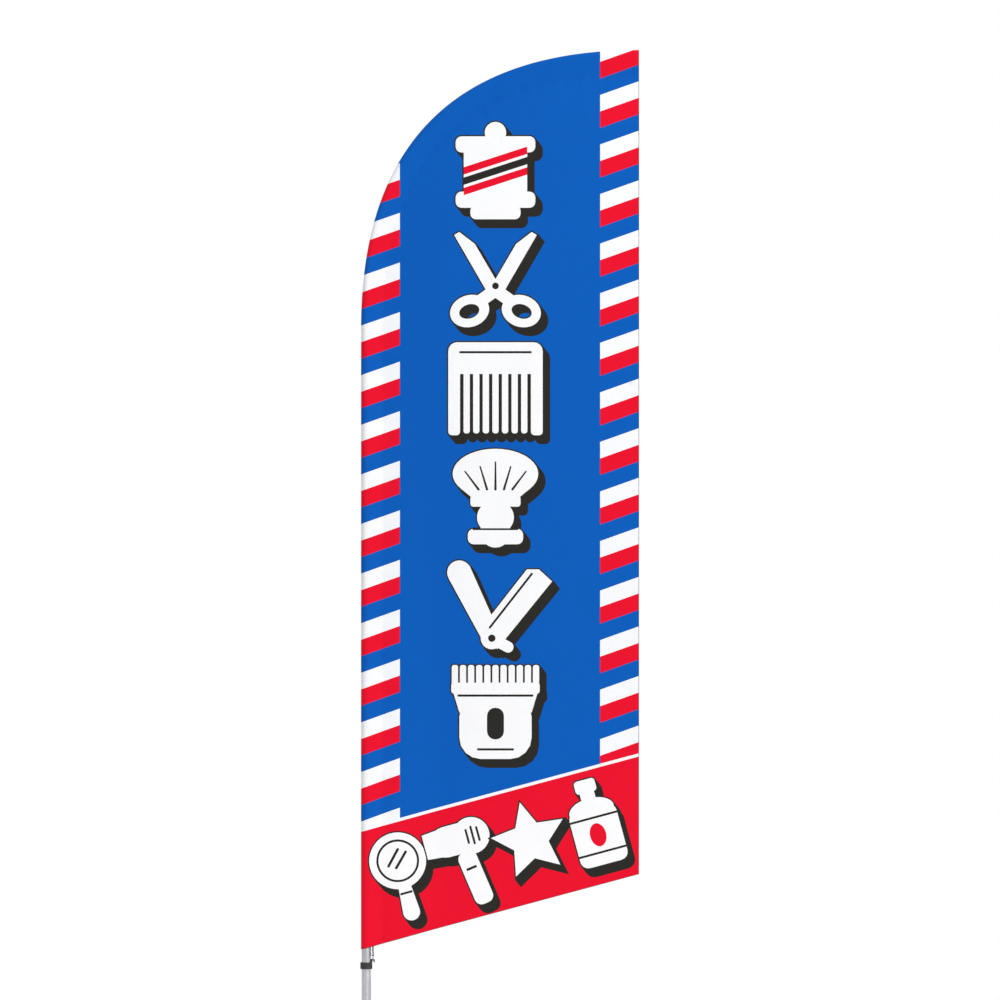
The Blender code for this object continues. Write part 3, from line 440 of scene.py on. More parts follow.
def twice_area(ring):
    """Twice the area inside a ring of points: positive where it runs anticlockwise."""
    u, v = np.array(ring, float).T
    return float((u * np.roll(v, -1) - np.roll(u, -1) * v).sum())


for away in nose_rows:
    row = edge_point(along_rows) + away * edge_inward(along_rows)
    add_line(row[inside(row, 0.0005)])
for gap in (FOLD, HEM):
    rise = np.linspace(bottom(WIDTH - gap) + gap + 0.0005, HEIGHT - 0.0008, 176)
    add_line(np.column_stack([np.full(len(rise), WIDTH - gap), rise]))
    run = np.linspace(SLEEVE + 0.0005, WIDTH - gap - 0.0005, 52)
    add_line(np.column_stack([run, bottom(run) + gap]))
for gap in (0.003, 0.0055, 0.0085):
    add_line(np.column_stack([np.full(9, WIDTH - gap), np.linspace(HEIGHT - SLEEVE, HEIGHT - 0.0008, 9)]))
cuff = np.linspace(0.0008, SLEEVE, 12)
add_line(np.column_stack([cuff, bottom(cuff) + FOLD]))

GRID = 0.0135
grid_u, grid_v = np.meshgrid(np.arange(SLEEVE, WIDTH, GRID), np.arange(0, HEIGHT, GRID * 0.87))
grid_u[1::2] += GRID / 2
grid = np.column_stack([grid_u.ravel(), grid_v.ravel()])
grid = grid[inside(grid, HEM + 0.005)]
away, along = from_edge(grid)
curve_v = np.interp(grid[:, 0], edge[200:, 0], edge[200:, 1])
grid = grid[(away > SLEEVE + SEAM_LAP + 0.005) & (grid[:, 1] < curve_v)]
points.extend(map(tuple, grid))

outline = [*map(tuple, edge_point(along_rows))]
outline += [(WIDTH, v) for v in np.linspace(HEIGHT, BOTTOM_RISE, 170)[1:]]
outline += [(u, bottom(u)) for u in np.linspace(WIDTH, 0, 56)[1:-1]]
for ring in [outline, *[shape for shape, _ in layers]]:
    start = len(points)
    if twice_area(ring) < 0:
        ring = ring[::-1]
    points.extend(map(tuple, ring))
    polygons.append(list(range(start, start + len(ring))))
print(len(points), "points,", len(lines), "lines,", len(polygons), "polygons")

# %% Triangulate it all at once
flat_places, _, triangles, _, _, inside_of = delaunay_2d_cdt(
    [Vector(p) for p in points], lines, polygons, 0, 1e-6
)
flat = np.array([tuple(p) for p in flat_places])
on_cloth = [i for i, found in enumerate(inside_of) if 0 in found]
faces = np.array([triangles[i] for i in on_cloth])
covers = [[k - 1 for k in inside_of[i] if k] for i in on_cloth]
print(len(flat), "points and", len(faces), "triangles on the cloth")

# %% Give each triangle its colour
INKS = {
    "blue": (0, 92, 185),
    "red": (235, 10, 43),
    "white": (247, 248, 250),
    "paper": (250, 250, 251),
    "dark": (42, 40, 36),
}


def light(colour):
    """A screen colour as the linear light values that shaders use."""
    c = np.array(colour[:3], float) / 255
    return tuple(float(x) for x in np.where(c <= 0.04045, c / 12.92, ((c + 0.055) / 1.055) ** 2.4))


def ink_of(found):
    """The colour on top where these layers cover one another."""
    top, ground, holes = "blue", "blue", set()
    for k in sorted(found):
        ink = layers[k][1]
        if ink == "hole":
            holes.add(k)
        elif ink == "hole_moved":
            top = ground if k - 1 in holes else top
        else:
            top = ink
            ground = ink if k < field_layers else ground
    return top


middle = flat[faces].mean(1)
middle_away, _ = from_edge(middle)
# The outermost strip along the trailing and bottom edges is painted dark: painted shade on the turned edge.
painted_edge_shade = (middle[:, 0] > WIDTH - FOLD) | (middle[:, 1] < bottom(middle[:, 0]) + FOLD)
inks = ["dark" if key else ink_of(found) for found, key in zip(covers, painted_edge_shade)]
print({ink: inks.count(ink) for ink in INKS})

# %% [markdown]
# ## Letting the cloth hang
#
# Taut printed cloth is never quite flat. It is held along the seam, pulled down by its own
# weight and pushed about by moving air, so long shallow folds run down from the curve towards
# the free edge. Blender's cloth solver makes them on a plain grid: everything at or beyond the
# seam is pinned, a little wind gives the folds a start, and only the sideways move is kept.

# %% Simulate the folds on a plain grid
GRID_U, GRID_V = 26, 84
FOLD_DEPTH = 0.013  # the deepest a fold may come forward or back


def hang():
    """Sideways moves of a pinned grid of cloth, as rows from the bottom edge to the top."""
    u, t = np.meshgrid(np.linspace(SLEEVE, WIDTH, GRID_U), np.linspace(0, 1, GRID_V))
    v = bottom(u) + t * (HEIGHT - bottom(u))
    away, along = from_edge(np.column_stack([u.ravel(), v.ravel()]))
    over = v.ravel() > np.interp(u.ravel(), edge[200:, 0], edge[200:, 1])
    mesh = bpy.data.meshes.new("hanging_grid")
    verts = np.column_stack([u.ravel(), np.zeros(u.size), v.ravel()])
    quads = [
        (j * GRID_U + i, j * GRID_U + i + 1, (j + 1) * GRID_U + i + 1, (j + 1) * GRID_U + i)
        for j in range(GRID_V - 1)
        for i in range(GRID_U - 1)
    ]
    mesh.from_pydata(verts.tolist(), [], quads)
    cloth = link("hanging_grid", mesh)
    pins = cloth.vertex_groups.new(name="pins")
    pinned = np.flatnonzero(over | (away < SLEEVE + 0.004))
    pins.add([int(i) for i in pinned], 1.0, "REPLACE")
    solver = cloth.modifiers.new("cloth", "CLOTH").settings
    solver.quality = 6
    solver.mass = 0.12
    solver.tension_stiffness = solver.compression_stiffness = 12
    solver.shear_stiffness = 4
    solver.bending_stiffness = 0.4
    solver.air_damping = 1.5
    solver.vertex_group_mass = "pins"
    air = link("air")
    air.location = (0.4, -2.0, 1.0)
    air.rotation_euler = (math.radians(-84), 0.0, math.radians(12))
    with bpy.context.temp_override(object=air, active_object=air, selected_objects=[air]):
        bpy.ops.object.forcefield_toggle()
    air.field.type = "WIND"
    air.field.strength = 34.0
    air.field.noise = 6.0
    air.field.seed = 7
    for step in range(1, 46):
        bpy.context.scene.frame_set(step)
    made = cloth.evaluated_get(bpy.context.evaluated_depsgraph_get())
    moved = np.array([p.co.y for p in made.data.vertices]).reshape(GRID_V, GRID_U)
    bpy.context.scene.frame_set(1)
    for helper in (cloth, air):
        bpy.data.objects.remove(helper)
    return moved


folds = hang()
print(f"folds from {folds.min() * 1000:.1f} to {folds.max() * 1000:.1f} mm before trimming")
folds = folds - np.median(folds)
folds *= FOLD_DEPTH / max(FOLD_DEPTH, np.abs(folds).max())


def smooth(t):
    """Eases from 0 to 1."""
    t = np.clip(t, 0, 1)
    return t * t * (3 - 2 * t)


def spline_weights(t):
    """Shares of four neighbours in a smooth (cubic B-spline) curve, t of the way past the second."""
    return [(1 - t) ** 3 / 6, (3 * t**3 - 6 * t**2 + 4) / 6, (1 + 3 * t + 3 * t**2 - 3 * t**3) / 6, t**3 / 6]


def fold_at(places):
    """The sideways move of the cloth at these (u, v) places."""
    u, v = places[:, 0], places[:, 1]
    i = np.clip((u - SLEEVE) / (WIDTH - SLEEVE), 0, 1) * (GRID_U - 1)
    j = np.clip((v - bottom(u)) / (HEIGHT - bottom(u)), 0, 1) * (GRID_V - 1)
    i0, j0 = np.minimum(i.astype(int), GRID_U - 2), np.minimum(j.astype(int), GRID_V - 2)
    found = np.zeros(len(places))
    for a, share_u in enumerate(spline_weights(i - i0)):
        for b, share_v in enumerate(spline_weights(j - j0)):
            at_u, at_v = np.clip(i0 + a - 1, 0, GRID_U - 1), np.clip(j0 + b - 1, 0, GRID_V - 1)
            found += share_u * share_v * folds[at_v, at_u]
    return found


# %% [markdown]
# ## The sleeve's shape
#
# Seen from its end the sleeve is a teardrop: it wraps the pole in a round nose, and runs
# straight from there to the seam on both sides. The nose is large round the tubes and shrinks
# where the thin rods take over, and its size at each place is read from the sleeve's solid.

# %% Measure the nose along the sleeve
solid = np.array([tuple(p.co) for p in frame["nodes"]["pole_sleeve"].data.vertices])
_, solid_along = from_edge(solid[:, [0, 2]] - [EDGE_X, BOTTOM_Z])
knots = np.concatenate([[0, 1.5], np.arange(1.60, EDGE_LENGTH, 0.045), [EDGE_LENGTH]])
nose_sizes = [
    np.abs(solid[np.abs(solid_along - k) < 0.035, 1]).max() if k > 1.5 else NOSE_LOW for k in knots
]
print(f"nose {nose_sizes[0] * 1000:.1f} mm round the tubes, {nose_sizes[-1] * 1000:.1f} mm at the tip")


def nose(along):
    return np.interp(along, knots, nose_sizes)


def pole_line(along):
    """Centre of the pole, in flag coordinates."""
    return edge_point(along) + nose(along)[:, None] * edge_inward(along)


SEAM_HALF = 0.0005
TIP_CLOSE = 0.0085  # the sleeve closes to a rounded point over this last bit of its length
BACK_GAP = 0.0010  # keeps a layer that is folded back clear of the front


def stand_off(away, along):
    """How far the sleeve's cloth stands off the flag's middle plane."""
    r = nose(along)
    reach = SLEEVE - r
    lean = np.arctan2(SEAM_HALF, reach) + np.arccos(np.clip(r / np.hypot(reach, SEAM_HALF), -1, 1))
    touch, height = r + r * np.cos(lean), r * np.sin(lean)
    round_part = np.sqrt(np.clip(r**2 - (away - r) ** 2, 0, None))
    flat_part = SEAM_HALF + (height - SEAM_HALF) * (SLEEVE - away) / (SLEEVE - touch)
    off = np.where(away < touch, round_part, np.maximum(flat_part, SEAM_HALF))
    off = np.where(away > SLEEVE, SEAM_HALF * (1 - smooth((away - SLEEVE) / 0.012)), off)
    left = np.clip((EDGE_LENGTH - along) / TIP_CLOSE, 0, 1)
    closing = np.sqrt(np.clip(1 - (1 - left) ** 2, 0, 1))
    return off * np.where(away < SLEEVE, np.maximum(closing, 0.0), 1.0)


def pucker(places, away, along):
    """Short tight wrinkles that the seam's thread draws into the cloth on both sides of it."""
    wave = np.sin(along * 2 * np.pi / 0.043 + 1.7 * np.sin(along * 9.1))
    wave = wave + 0.6 * np.sin(along * 2 * np.pi / 0.071 + 2.0 * np.sin(along * 5.3 + 1))
    near = np.exp(-np.abs(away - SLEEVE) / np.where(away > SLEEVE, 0.055, 0.014))
    ends = smooth(along / 0.03) * smooth((EDGE_LENGTH - along) / 0.05)
    hem = np.exp(-(WIDTH - places[:, 0]) / 0.012) * np.sin(places[:, 1] * 2 * np.pi / 0.052)
    return 0.0008 * wave * near * ends + 0.0006 * hem


def cloth_place(places, side):
    """Places in space. side is -1 in front, 1 behind, and 0 on an edge that both share."""
    away, along = from_edge(places)
    off = stand_off(away, along)
    behind = (away > SLEEVE) | (off < 0.0009) & (away > 0.03)
    off = np.where((side > 0) & behind, np.maximum(off, BACK_GAP), off)
    drift = fold_at(places) * smooth((away - SLEEVE) / 0.16)
    y = side * off + drift + pucker(places, away, along)
    return np.column_stack([places[:, 0] + EDGE_X, y, places[:, 1] + BOTTOM_Z])


# %% [markdown]
# ## Sewing the cloth together
#
# The front is every triangle of the cut. Behind it lie only the parts that are folded back: the
# far side of the sleeve, which runs on a little past the seam, and the two hems. Front and back
# share their points along the outer edge and the hems, where the cloth is folded. They share
# none at the sleeve's foot, which stays open for the pole.

# %% Build the flag's cloth
away, along = from_edge(flat)
in_sleeve = middle_away < SLEEVE + SEAM_LAP
in_hem = middle[:, 0] > WIDTH - HEM
in_hem |= (middle[:, 1] < bottom(middle[:, 0]) + HEM) & (middle[:, 0] > SLEEVE)
back_faces = np.flatnonzero(in_sleeve | in_hem)
shared = (
    (away < 1e-6)
    | (flat[:, 0] > WIDTH - 1e-6)
    | ((flat[:, 1] < bottom(flat[:, 0]) + 1e-6) & (flat[:, 0] > SLEEVE + SEAM_LAP))
)
front = cloth_place(flat, np.where(shared, 0.0, -1.0))
behind = cloth_place(flat, np.ones(len(flat)))
used_behind = np.unique(faces[back_faces])
used_behind = used_behind[~shared[used_behind]]
second = np.arange(len(flat))
second[used_behind] = len(flat) + np.arange(len(used_behind))
all_places = np.vstack([front, behind[used_behind]])
all_flat = np.vstack([flat, flat[used_behind]])
all_faces = np.vstack([faces, second[faces[back_faces]][:, ::-1]])
all_inks = [*inks, *[inks[i] for i in back_faces]]
kept, renumbered = np.unique(all_faces, return_inverse=True)
all_faces = renumbered.reshape(all_faces.shape)
all_places, all_flat = all_places[kept], all_flat[kept]


def flat_area(which):
    """The area of these triangles while they lie flat."""
    a, b, c = (flat[faces[which, i]] for i in range(3))
    (bu, bv), (cu, cv) = (b - a).T, (c - a).T
    return float(np.abs(bu * cv - bv * cu).sum() / 2)


round_the_nose = (math.pi / 2 - 1) * NOSE_LOW * EDGE_LENGTH * 2
CUT_AREA = flat_area(slice(None)) + flat_area(back_faces) + round_the_nose
print(f"{len(all_faces)} triangles, cut area {CUT_AREA:.3f} square metres")


def link_mesh(name, verts, polys):
    """A smooth-shaded mesh object."""
    mesh = bpy.data.meshes.new(name)
    mesh.from_pydata([tuple(v) for v in verts], [], [tuple(int(i) for i in p) for p in polys])
    mesh.shade_smooth()
    return link(name, mesh)


flag_cloth = link_mesh("flag_cloth", all_places, all_faces)
mesh = flag_cloth.data
corner_inks = np.ones((len(all_faces), 3, 4), np.float32)
for i, ink in enumerate(all_inks):
    corner_inks[i, :, :3] = light(INKS[ink])
mesh.color_attributes.new("ink", "FLOAT_COLOR", "CORNER").data.foreach_set("color", corner_inks.ravel())
lay_out = np.zeros((len(all_flat), 3), np.float32)
lay_out[:, :2] = all_flat * 1000
mesh.attributes.new("thread_mm", "FLOAT_VECTOR", "POINT").data.foreach_set("vector", lay_out.ravel())

# %% [markdown]
# A game engine wants this print as one square picture. The flag is over three times as tall as
# it is wide, so its map is cut in two halves that lie side by side, which uses the square well.

# %% Lay the cloth out in a square map
corners = all_flat[all_faces]
upper = corners[:, :, 1].mean(1) > HEIGHT / 2
square = np.empty((len(all_faces), 3, 2), np.float32)
square[:, :, 0] = corners[:, :, 0] / WIDTH * 0.49 + 0.003 + 0.5 * upper[:, None]
square[:, :, 1] = (corners[:, :, 1] - HEIGHT / 2 * upper[:, None]) / (HEIGHT / 2) * 0.97 + 0.015
mesh.uv_layers.new(name="OFBake").data.foreach_set("uv", square.ravel())

# %% [markdown]
# ## Stitches
#
# Two rows of stitches close the sleeve, and one row holds each hem. A stitch is a short plump
# thread that dips into the cloth at both ends, so each one here is a small spindle of eight
# faces, laid on the cloth wherever its row runs.

# %% Sew the rows
STITCH, STEP, THREAD = 0.0026, 0.0034, 0.00032
SEAM_ROWS = (SLEEVE - 0.0022, SLEEVE + 0.0045)
HEM_ROW = 0.011  # how far in from the edge the hems are sewn


def spindles(starts, ends, outward, width=THREAD, height=THREAD):
    """Points and faces of one small spindle for each stitch."""
    run = ends - starts
    run /= np.linalg.norm(run, axis=1)[:, None]
    outward = outward - (outward * run).sum(1)[:, None] * run
    outward /= np.linalg.norm(outward, axis=1)[:, None]
    aside = np.cross(run, outward)
    mid = (starts + ends) / 2 + outward * height * 0.4
    wide, high = aside * width, outward * height
    verts = np.stack([starts, mid + wide, mid + high, mid - wide, mid - high, ends], 1).reshape(-1, 3)
    one = [(0, 1, 2), (0, 2, 3), (0, 3, 4), (0, 4, 1), (5, 2, 1), (5, 3, 2), (5, 4, 3), (5, 1, 4)]
    polys = (np.arange(len(starts))[:, None, None] * 6 + np.array(one)[None]).reshape(-1, 3)
    return verts, polys


def row_on_cloth(line, side):
    """A row of stitches along a line of (u, v) places, on one side of the cloth."""
    line = np.array(line)
    reach = np.concatenate([[0], np.cumsum(np.linalg.norm(np.diff(line, axis=0), axis=1))])
    at = np.arange(0.001, reach[-1] - STITCH, STEP)
    spot = lambda d: np.column_stack([np.interp(d, reach, line[:, i]) for i in (0, 1)])
    sides = np.full(len(at), float(side))
    begin, end = cloth_place(spot(at), sides), cloth_place(spot(at + STITCH), sides)
    across = spot(at + STITCH) - spot(at)
    across = np.column_stack([-across[:, 1], across[:, 0]])
    beside = cloth_place(spot(at) + across * 0.5, sides)
    outward = np.cross(end - begin, beside - begin)
    outward *= np.sign(outward[:, 1] * side)[:, None]
    return spindles(begin, end, outward)


def gather(parts):
    """Joins several (points, faces) into one."""
    verts, polys, count = [], [], 0
    for v, p in parts:
        verts.append(v)
        polys.append(p + count)
        count += len(v)
    return np.vstack(verts), np.vstack(polys)


seam_along = np.linspace(0.004, EDGE_LENGTH - 0.004, 700)
seam_rows = [edge_point(seam_along) + d * edge_inward(seam_along) for d in SEAM_ROWS]
hem_v = np.linspace(bottom(WIDTH - HEM_ROW) + 0.003, HEIGHT - SLEEVE - 0.012, 300)
hem_u = np.linspace(SLEEVE + 0.006, WIDTH - 0.003, 120)
cuff_u = np.linspace(0.0009, SLEEVE, 60)
tip_v = np.linspace(HEIGHT - SLEEVE, HEIGHT - 0.004, 30)
rows = [
    *[row[inside(row, 0.001)] for row in seam_rows],
    np.column_stack([np.full(300, WIDTH - HEM_ROW), hem_v]),
    np.column_stack([hem_u, bottom(hem_u) + HEM_ROW]),
    np.column_stack([cuff_u, bottom(cuff_u) + HEM_ROW]),
    np.column_stack([np.full(30, WIDTH - 0.0035), tip_v]),
]
sewn = gather([row_on_cloth(row, side) for row in rows for side in (-1, 1)])
stitching = link_mesh("flag_stitching", *sewn)
print(len(stitching.data.polygons) // 8, "stitches")

# %% Let the clear thread take the cloth's colour
centres = KDTree(len(middle))
for i, place in enumerate(middle):
    centres.insert((*place, 0.0), i)
centres.balance()

spots = np.array([tuple(p.co) for p in stitching.data.vertices]).reshape(-1, 6, 3).mean(1)
colours = np.ones((len(spots), 4), np.float32)
for i, (x, _, z) in enumerate(spots):
    nearest = centres.find((x - EDGE_X, z - BOTTOM_Z, 0.0))[1]
    colours[i, :3] = light(INKS[inks[nearest]])
colours = np.repeat(colours, 6, axis=0)
ink = stitching.data.color_attributes.new("ink", "FLOAT_COLOR", "POINT")
ink.data.foreach_set("color", colours.ravel())
print("each stitch takes its colour from the nearest of", len(middle), "triangles")

# %% [markdown]
# ## The strap
#
# A short doubled strap comes down out of the sleeve and holds a ring, which hooks over a collar
# on the pole and keeps the cloth taut. It is woven webbing, thick and stiff, folded round the
# ring's bar and closed with a few rows of stitches. Its solid gives the place and the width. A
# ribbon with rounded edges is swept along the fold, with its two legs pressed together above.

# %% Sweep the strap round the ring
strap_low, strap_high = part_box("webbing_tab")
WIRE = 0.0015  # the radius of the ring's wire
STRAP_THICK = 0.0015
LEG_GAP = 0.00012  # half the gap between the strap's two legs
strap_x = (strap_low.x + strap_high.x) / 2
strap_half = (strap_high.y - strap_low.y) / 2
ring_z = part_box("tab_ring")[1].z - WIRE


def strap_line():
    """The middle of the strap's thickness in x and z: up one leg, round the bar and back."""
    reach = WIRE + 0.0003 + STRAP_THICK / 2
    gap = STRAP_THICK / 2 + LEG_GAP
    wrap = math.radians(28)  # how far past half a turn the strap hugs the bar on each side
    spread = reach * math.cos(wrap) - gap
    turn = [
        (strap_x + reach * math.cos(a), ring_z + reach * math.sin(a))
        for a in np.linspace(wrap, -math.pi - wrap, 19)
    ]

    def leg(side):
        """One leg from the bar to the top: it closes on the other, then runs straight."""
        closing = [
            (strap_x + side * (gap + spread * (1 - smooth(t))), ring_z + 0.0011 + 0.0085 * t)
            for t in np.linspace(0.12, 1, 8)
        ]
        heights = np.linspace(ring_z + 0.012, strap_high.z - 0.0004, 22)
        return closing + [(strap_x + side * gap, z) for z in heights]

    return np.array([*leg(1)[::-1], *turn, *leg(-1)])


def ring_faces(rings, n, closed=False):
    """Four-sided faces between rings of n points. Where closed, the last ring meets the first."""
    return [
        (i * n + k, i * n + (k + 1) % n, (i + 1) % rings * n + (k + 1) % n, (i + 1) % rings * n + k)
        for i in range(rings if closed else rings - 1)
        for k in range(n)
    ]


def ribbon(line, half_width, thick, name):
    """A closed ribbon along a line in the x-z plane, flat across y, with rounded edges."""
    run = np.gradient(line, axis=0)
    run /= np.linalg.norm(run, axis=1)[:, None]
    out = np.column_stack([run[:, 1], -run[:, 0]])
    r = thick / 2
    half = [(a * (half_width - r), r) for a in np.linspace(-1, 1, 15)]
    half += [(half_width - r + r * math.cos(t), r * math.sin(t)) for t in np.radians([60, 30, 0, -30, -60])]
    section = half + [(-y, -h) for y, h in half]
    n = len(section)
    verts = [(x + ox * h, y, z + oz * h) for (x, z), (ox, oz) in zip(line, out) for y, h in section]
    ends = [tuple(range(n))[::-1], tuple(range((len(line) - 1) * n, len(line) * n))]
    return link_mesh(name, verts, ring_faces(len(line), n) + ends)


line = strap_line()
strap = ribbon(line, strap_half - 0.0001, STRAP_THICK, "strap")
strap_length = float(np.linalg.norm(np.diff(line, axis=0), axis=1).sum())
print(f"strap {strap_half * 2000:.1f} mm wide, {strap_length * 1000:.0f} mm long when cut")

# %% Stitch the strap's legs together
def strap_stitches():
    """Two cross rows below the sleeve and two rows up each edge, on both faces of the strap."""
    face = LEG_GAP + STRAP_THICK
    starts, ends, outward = [], [], []
    for side in (-1, 1):
        for z in (BOTTOM_Z - 0.0035, BOTTOM_Z - 0.0010):
            for y in np.arange(-strap_half + 0.0012, strap_half - 0.0030, 0.0024):
                starts.append((strap_x + side * face, y, z))
                ends.append((strap_x + side * face, y + 0.0018, z))
        for y in (-strap_half + 0.0012, strap_half - 0.0012):
            for z in np.arange(BOTTOM_Z + 0.0012, strap_high.z - 0.004, 0.0029):
                starts.append((strap_x + side * face, y, z))
                ends.append((strap_x + side * face, y, z + 0.0022))
        outward += [(side, 0.0, 0.0)] * (len(starts) - len(outward))
    return spindles(np.array(starts), np.array(ends), np.array(outward), 0.0003, 0.00022)


strap_thread = link_mesh("strap_stitching", *strap_stitches())
print(len(strap_thread.data.polygons) // 8, "stitches in the strap")

# %% [markdown]
# ## The tip pocket
#
# Inside the sleeve's pointed end a small cup of the same webbing takes the thrust of the pole,
# which would soon wear through the thin cloth. It is turned like a thimble: a thick wall with a
# rolled mouth and a domed end, on the line that the pole takes there.

# %% Turn the pocket on the pole's line
pocket_solid = np.array([tuple(p.co) for p in frame["nodes"]["tip_pocket"].data.vertices])
pocket_radius = np.abs(pocket_solid[:, 1]).max()
_, reach = from_edge(pocket_solid[:, [0, 2]] - [EDGE_X, BOTTOM_Z])
pocket_start, pocket_end = float(reach.min()) + 0.0004, float(reach.max()) - 0.0002
POCKET_WALL = 0.0007
DOME = np.radians([0, 25, 50, 72])  # steps up the pocket's domed end


def pocket_mesh():
    """Rings of a cup: up the outside, round its end, and back down the bore."""
    outer = pocket_radius - 0.0001
    length = pocket_end - pocket_start
    profile = [(outer - 0.00035, 0.0), (outer - 0.0001, 0.0002), (outer, 0.0006)]
    profile += [(outer, length * t) for t in (0.2, 0.4, 0.6)]
    profile += [(outer * math.cos(t), length - 0.004 + 0.004 * math.sin(t)) for t in DOME]
    inner = outer - POCKET_WALL
    profile += [(0.0003, length), (0.0003, length - 0.0021)]
    profile += [(inner * math.cos(t), length - 0.0048 + 0.0026 * math.sin(t)) for t in DOME[::-1]]
    profile += [(inner, length * t) for t in (0.6, 0.4, 0.2)] + [(inner, 0.0006), (inner + 0.0002, 0.0001)]
    verts, steps = [], 32
    for r, d in profile:
        at = np.array([min(pocket_start + d, EDGE_LENGTH)])
        centre, aside = pole_line(at)[0], edge_inward(at)[0]
        for k in range(steps):
            a = 2 * math.pi * k / steps
            spot = centre + aside * r * math.cos(a)
            verts.append((spot[0] + EDGE_X, r * math.sin(a), spot[1] + BOTTOM_Z))
    return verts, ring_faces(len(profile), steps, closed=True)


pocket = link_mesh("pole_pocket", *pocket_mesh())
print(f"pocket {(pocket_end - pocket_start) * 1000:.0f} mm deep, {pocket_radius * 2000:.1f} mm across")

# %% [markdown]
# ## The spring behind the snap button
#
# Inside the middle tube a folded strip of spring steel pushes the snap button out through both
# tubes. It is the one hard piece that changes shape in use, because it closes up as the button
# goes in, so it is swept here as a ribbon of its own.

# %% Fold the leaf spring
spring_low, spring_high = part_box("button_spring")
LEAF_THICK = 0.0008
BUTTON_TRAVEL = 0.0045


def hairpin():
    """The middle of the leaf's thickness: down behind the button, round, and up the far wall."""
    near, far_side = spring_high.x - LEAF_THICK / 2, spring_low.x + LEAF_THICK / 2
    radius = (near - far_side) / 2
    foot = spring_low.z + LEAF_THICK / 2 + radius
    bend = np.linspace(0, math.pi, 25)
    turn = [(near - radius * (1 - math.cos(a)), foot - radius * math.sin(a)) for a in bend]
    leg = np.linspace(spring_high.z, foot, 14)[:-1]
    return np.array([*[(near, z) for z in leg], *turn, *[(far_side, z) for z in leg[::-1]]])


leaf_spring = ribbon(hairpin(), (spring_high.y - spring_low.y) / 2, LEAF_THICK, "leaf_spring")
leaf_open = spring_high.x - spring_low.x
leaf_shut = leaf_open - BUTTON_TRAVEL
print(f"leaf spring {leaf_open * 1000:.1f} mm deep, {leaf_shut * 1000:.1f} mm with the button in")

# %% [markdown]
# ## A way to write finishes
#
# Shader nodes are sums in disguise, and a sum reads best as one. `Wire` wraps an output socket,
# so that `0.5 + 0.2 * grain` makes the two Math nodes for it. `Finish` holds one material and
# makes every other node.

# %% The two classes that build materials
class Wire:
    """An output socket that works in sums with numbers and other wires."""

    def __init__(self, finish, socket):
        self.finish, self.socket = finish, socket

    def out(self, name):
        """Another output of the same node."""
        return Wire(self.finish, self.socket.node.outputs[name])

    def sum(self, operation, *terms):
        """One Math node, or one Vector Math node where a term is a vector."""
        vector = any(isinstance(x, Wire) and x.socket.type == "VECTOR" for x in terms)
        kind = "ShaderNodeVectorMath" if vector else "ShaderNodeMath"
        return self.finish.node(kind, {"operation": operation}, dict(enumerate(terms)))

    def __add__(self, other):
        return self.sum("ADD", self, other)

    __radd__ = __add__

    def __sub__(self, other):
        return self.sum("SUBTRACT", self, other)

    def __rsub__(self, other):
        return self.sum("SUBTRACT", other, self)

    def __mul__(self, other):
        return self.sum("MULTIPLY", self, other)

    __rmul__ = __mul__

    def __pow__(self, other):
        return self.sum("POWER", self, other)

    def __abs__(self):
        return self.sum("ABSOLUTE", self)

    def sine(self):
        return self.sum("SINE", self)

    def between(self, low, high):
        """0 at low, 1 at high, eased and held in between."""
        return self.finish.node(
            "ShaderNodeMapRange",
            {"interpolation_type": "SMOOTHSTEP"},
            {"Value": self, "From Min": low, "From Max": high},
        )


class Nodes:
    """One tree of shader nodes."""

    def __init__(self, tree):
        self.tree = tree

    def feed(self, node, inputs):
        for key, value in inputs.items():
            socket = node.inputs[key]
            if isinstance(value, Wire):
                self.tree.links.new(value.socket, socket)
            elif hasattr(value, "__len__") and len(socket.default_value) > len(value):
                socket.default_value = (*value, 1.0)
            else:
                socket.default_value = value

    def node(self, kind, settings=None, inputs=None):
        """A new node: its settings first, then the values or wires of its sockets."""
        made = self.tree.nodes.new(kind)
        for key, value in (settings or {}).items():
            if key == "stops":
                while len(made.color_ramp.elements) < len(value):
                    made.color_ramp.elements.new(0.5)
                for element, (place, colour) in zip(made.color_ramp.elements, value):
                    element.position, element.color = place, (*colour, 1.0)
            else:
                setattr(made, key, value)
        self.feed(made, inputs or {})
        return Wire(self, next(o for o in made.outputs if o.enabled))

    def place(self, scale=(1.0, 1.0, 1.0)):
        """Where a point lies on the piece, in metres, times a scale for each direction."""
        at = self.node("ShaderNodeTexCoord").out("Object")
        return self.node("ShaderNodeVectorMath", {"operation": "MULTIPLY"}, {0: at, 1: scale})

    def split(self, vector):
        parts = self.node("ShaderNodeSeparateXYZ", inputs={0: vector})
        return parts, parts.out("Y"), parts.out("Z")

    def noise(self, where, scale, detail=3.0, roughness=0.5):
        inputs = {"Vector": where, "Scale": scale, "Detail": detail, "Roughness": roughness}
        return self.node("ShaderNodeTexNoise", inputs=inputs)

    def mix(self, factor, first, second):
        """A blend of two colours."""
        inputs = {"Factor": factor, 6: first, 7: second}
        return self.node("ShaderNodeMix", {"data_type": "RGBA"}, inputs)


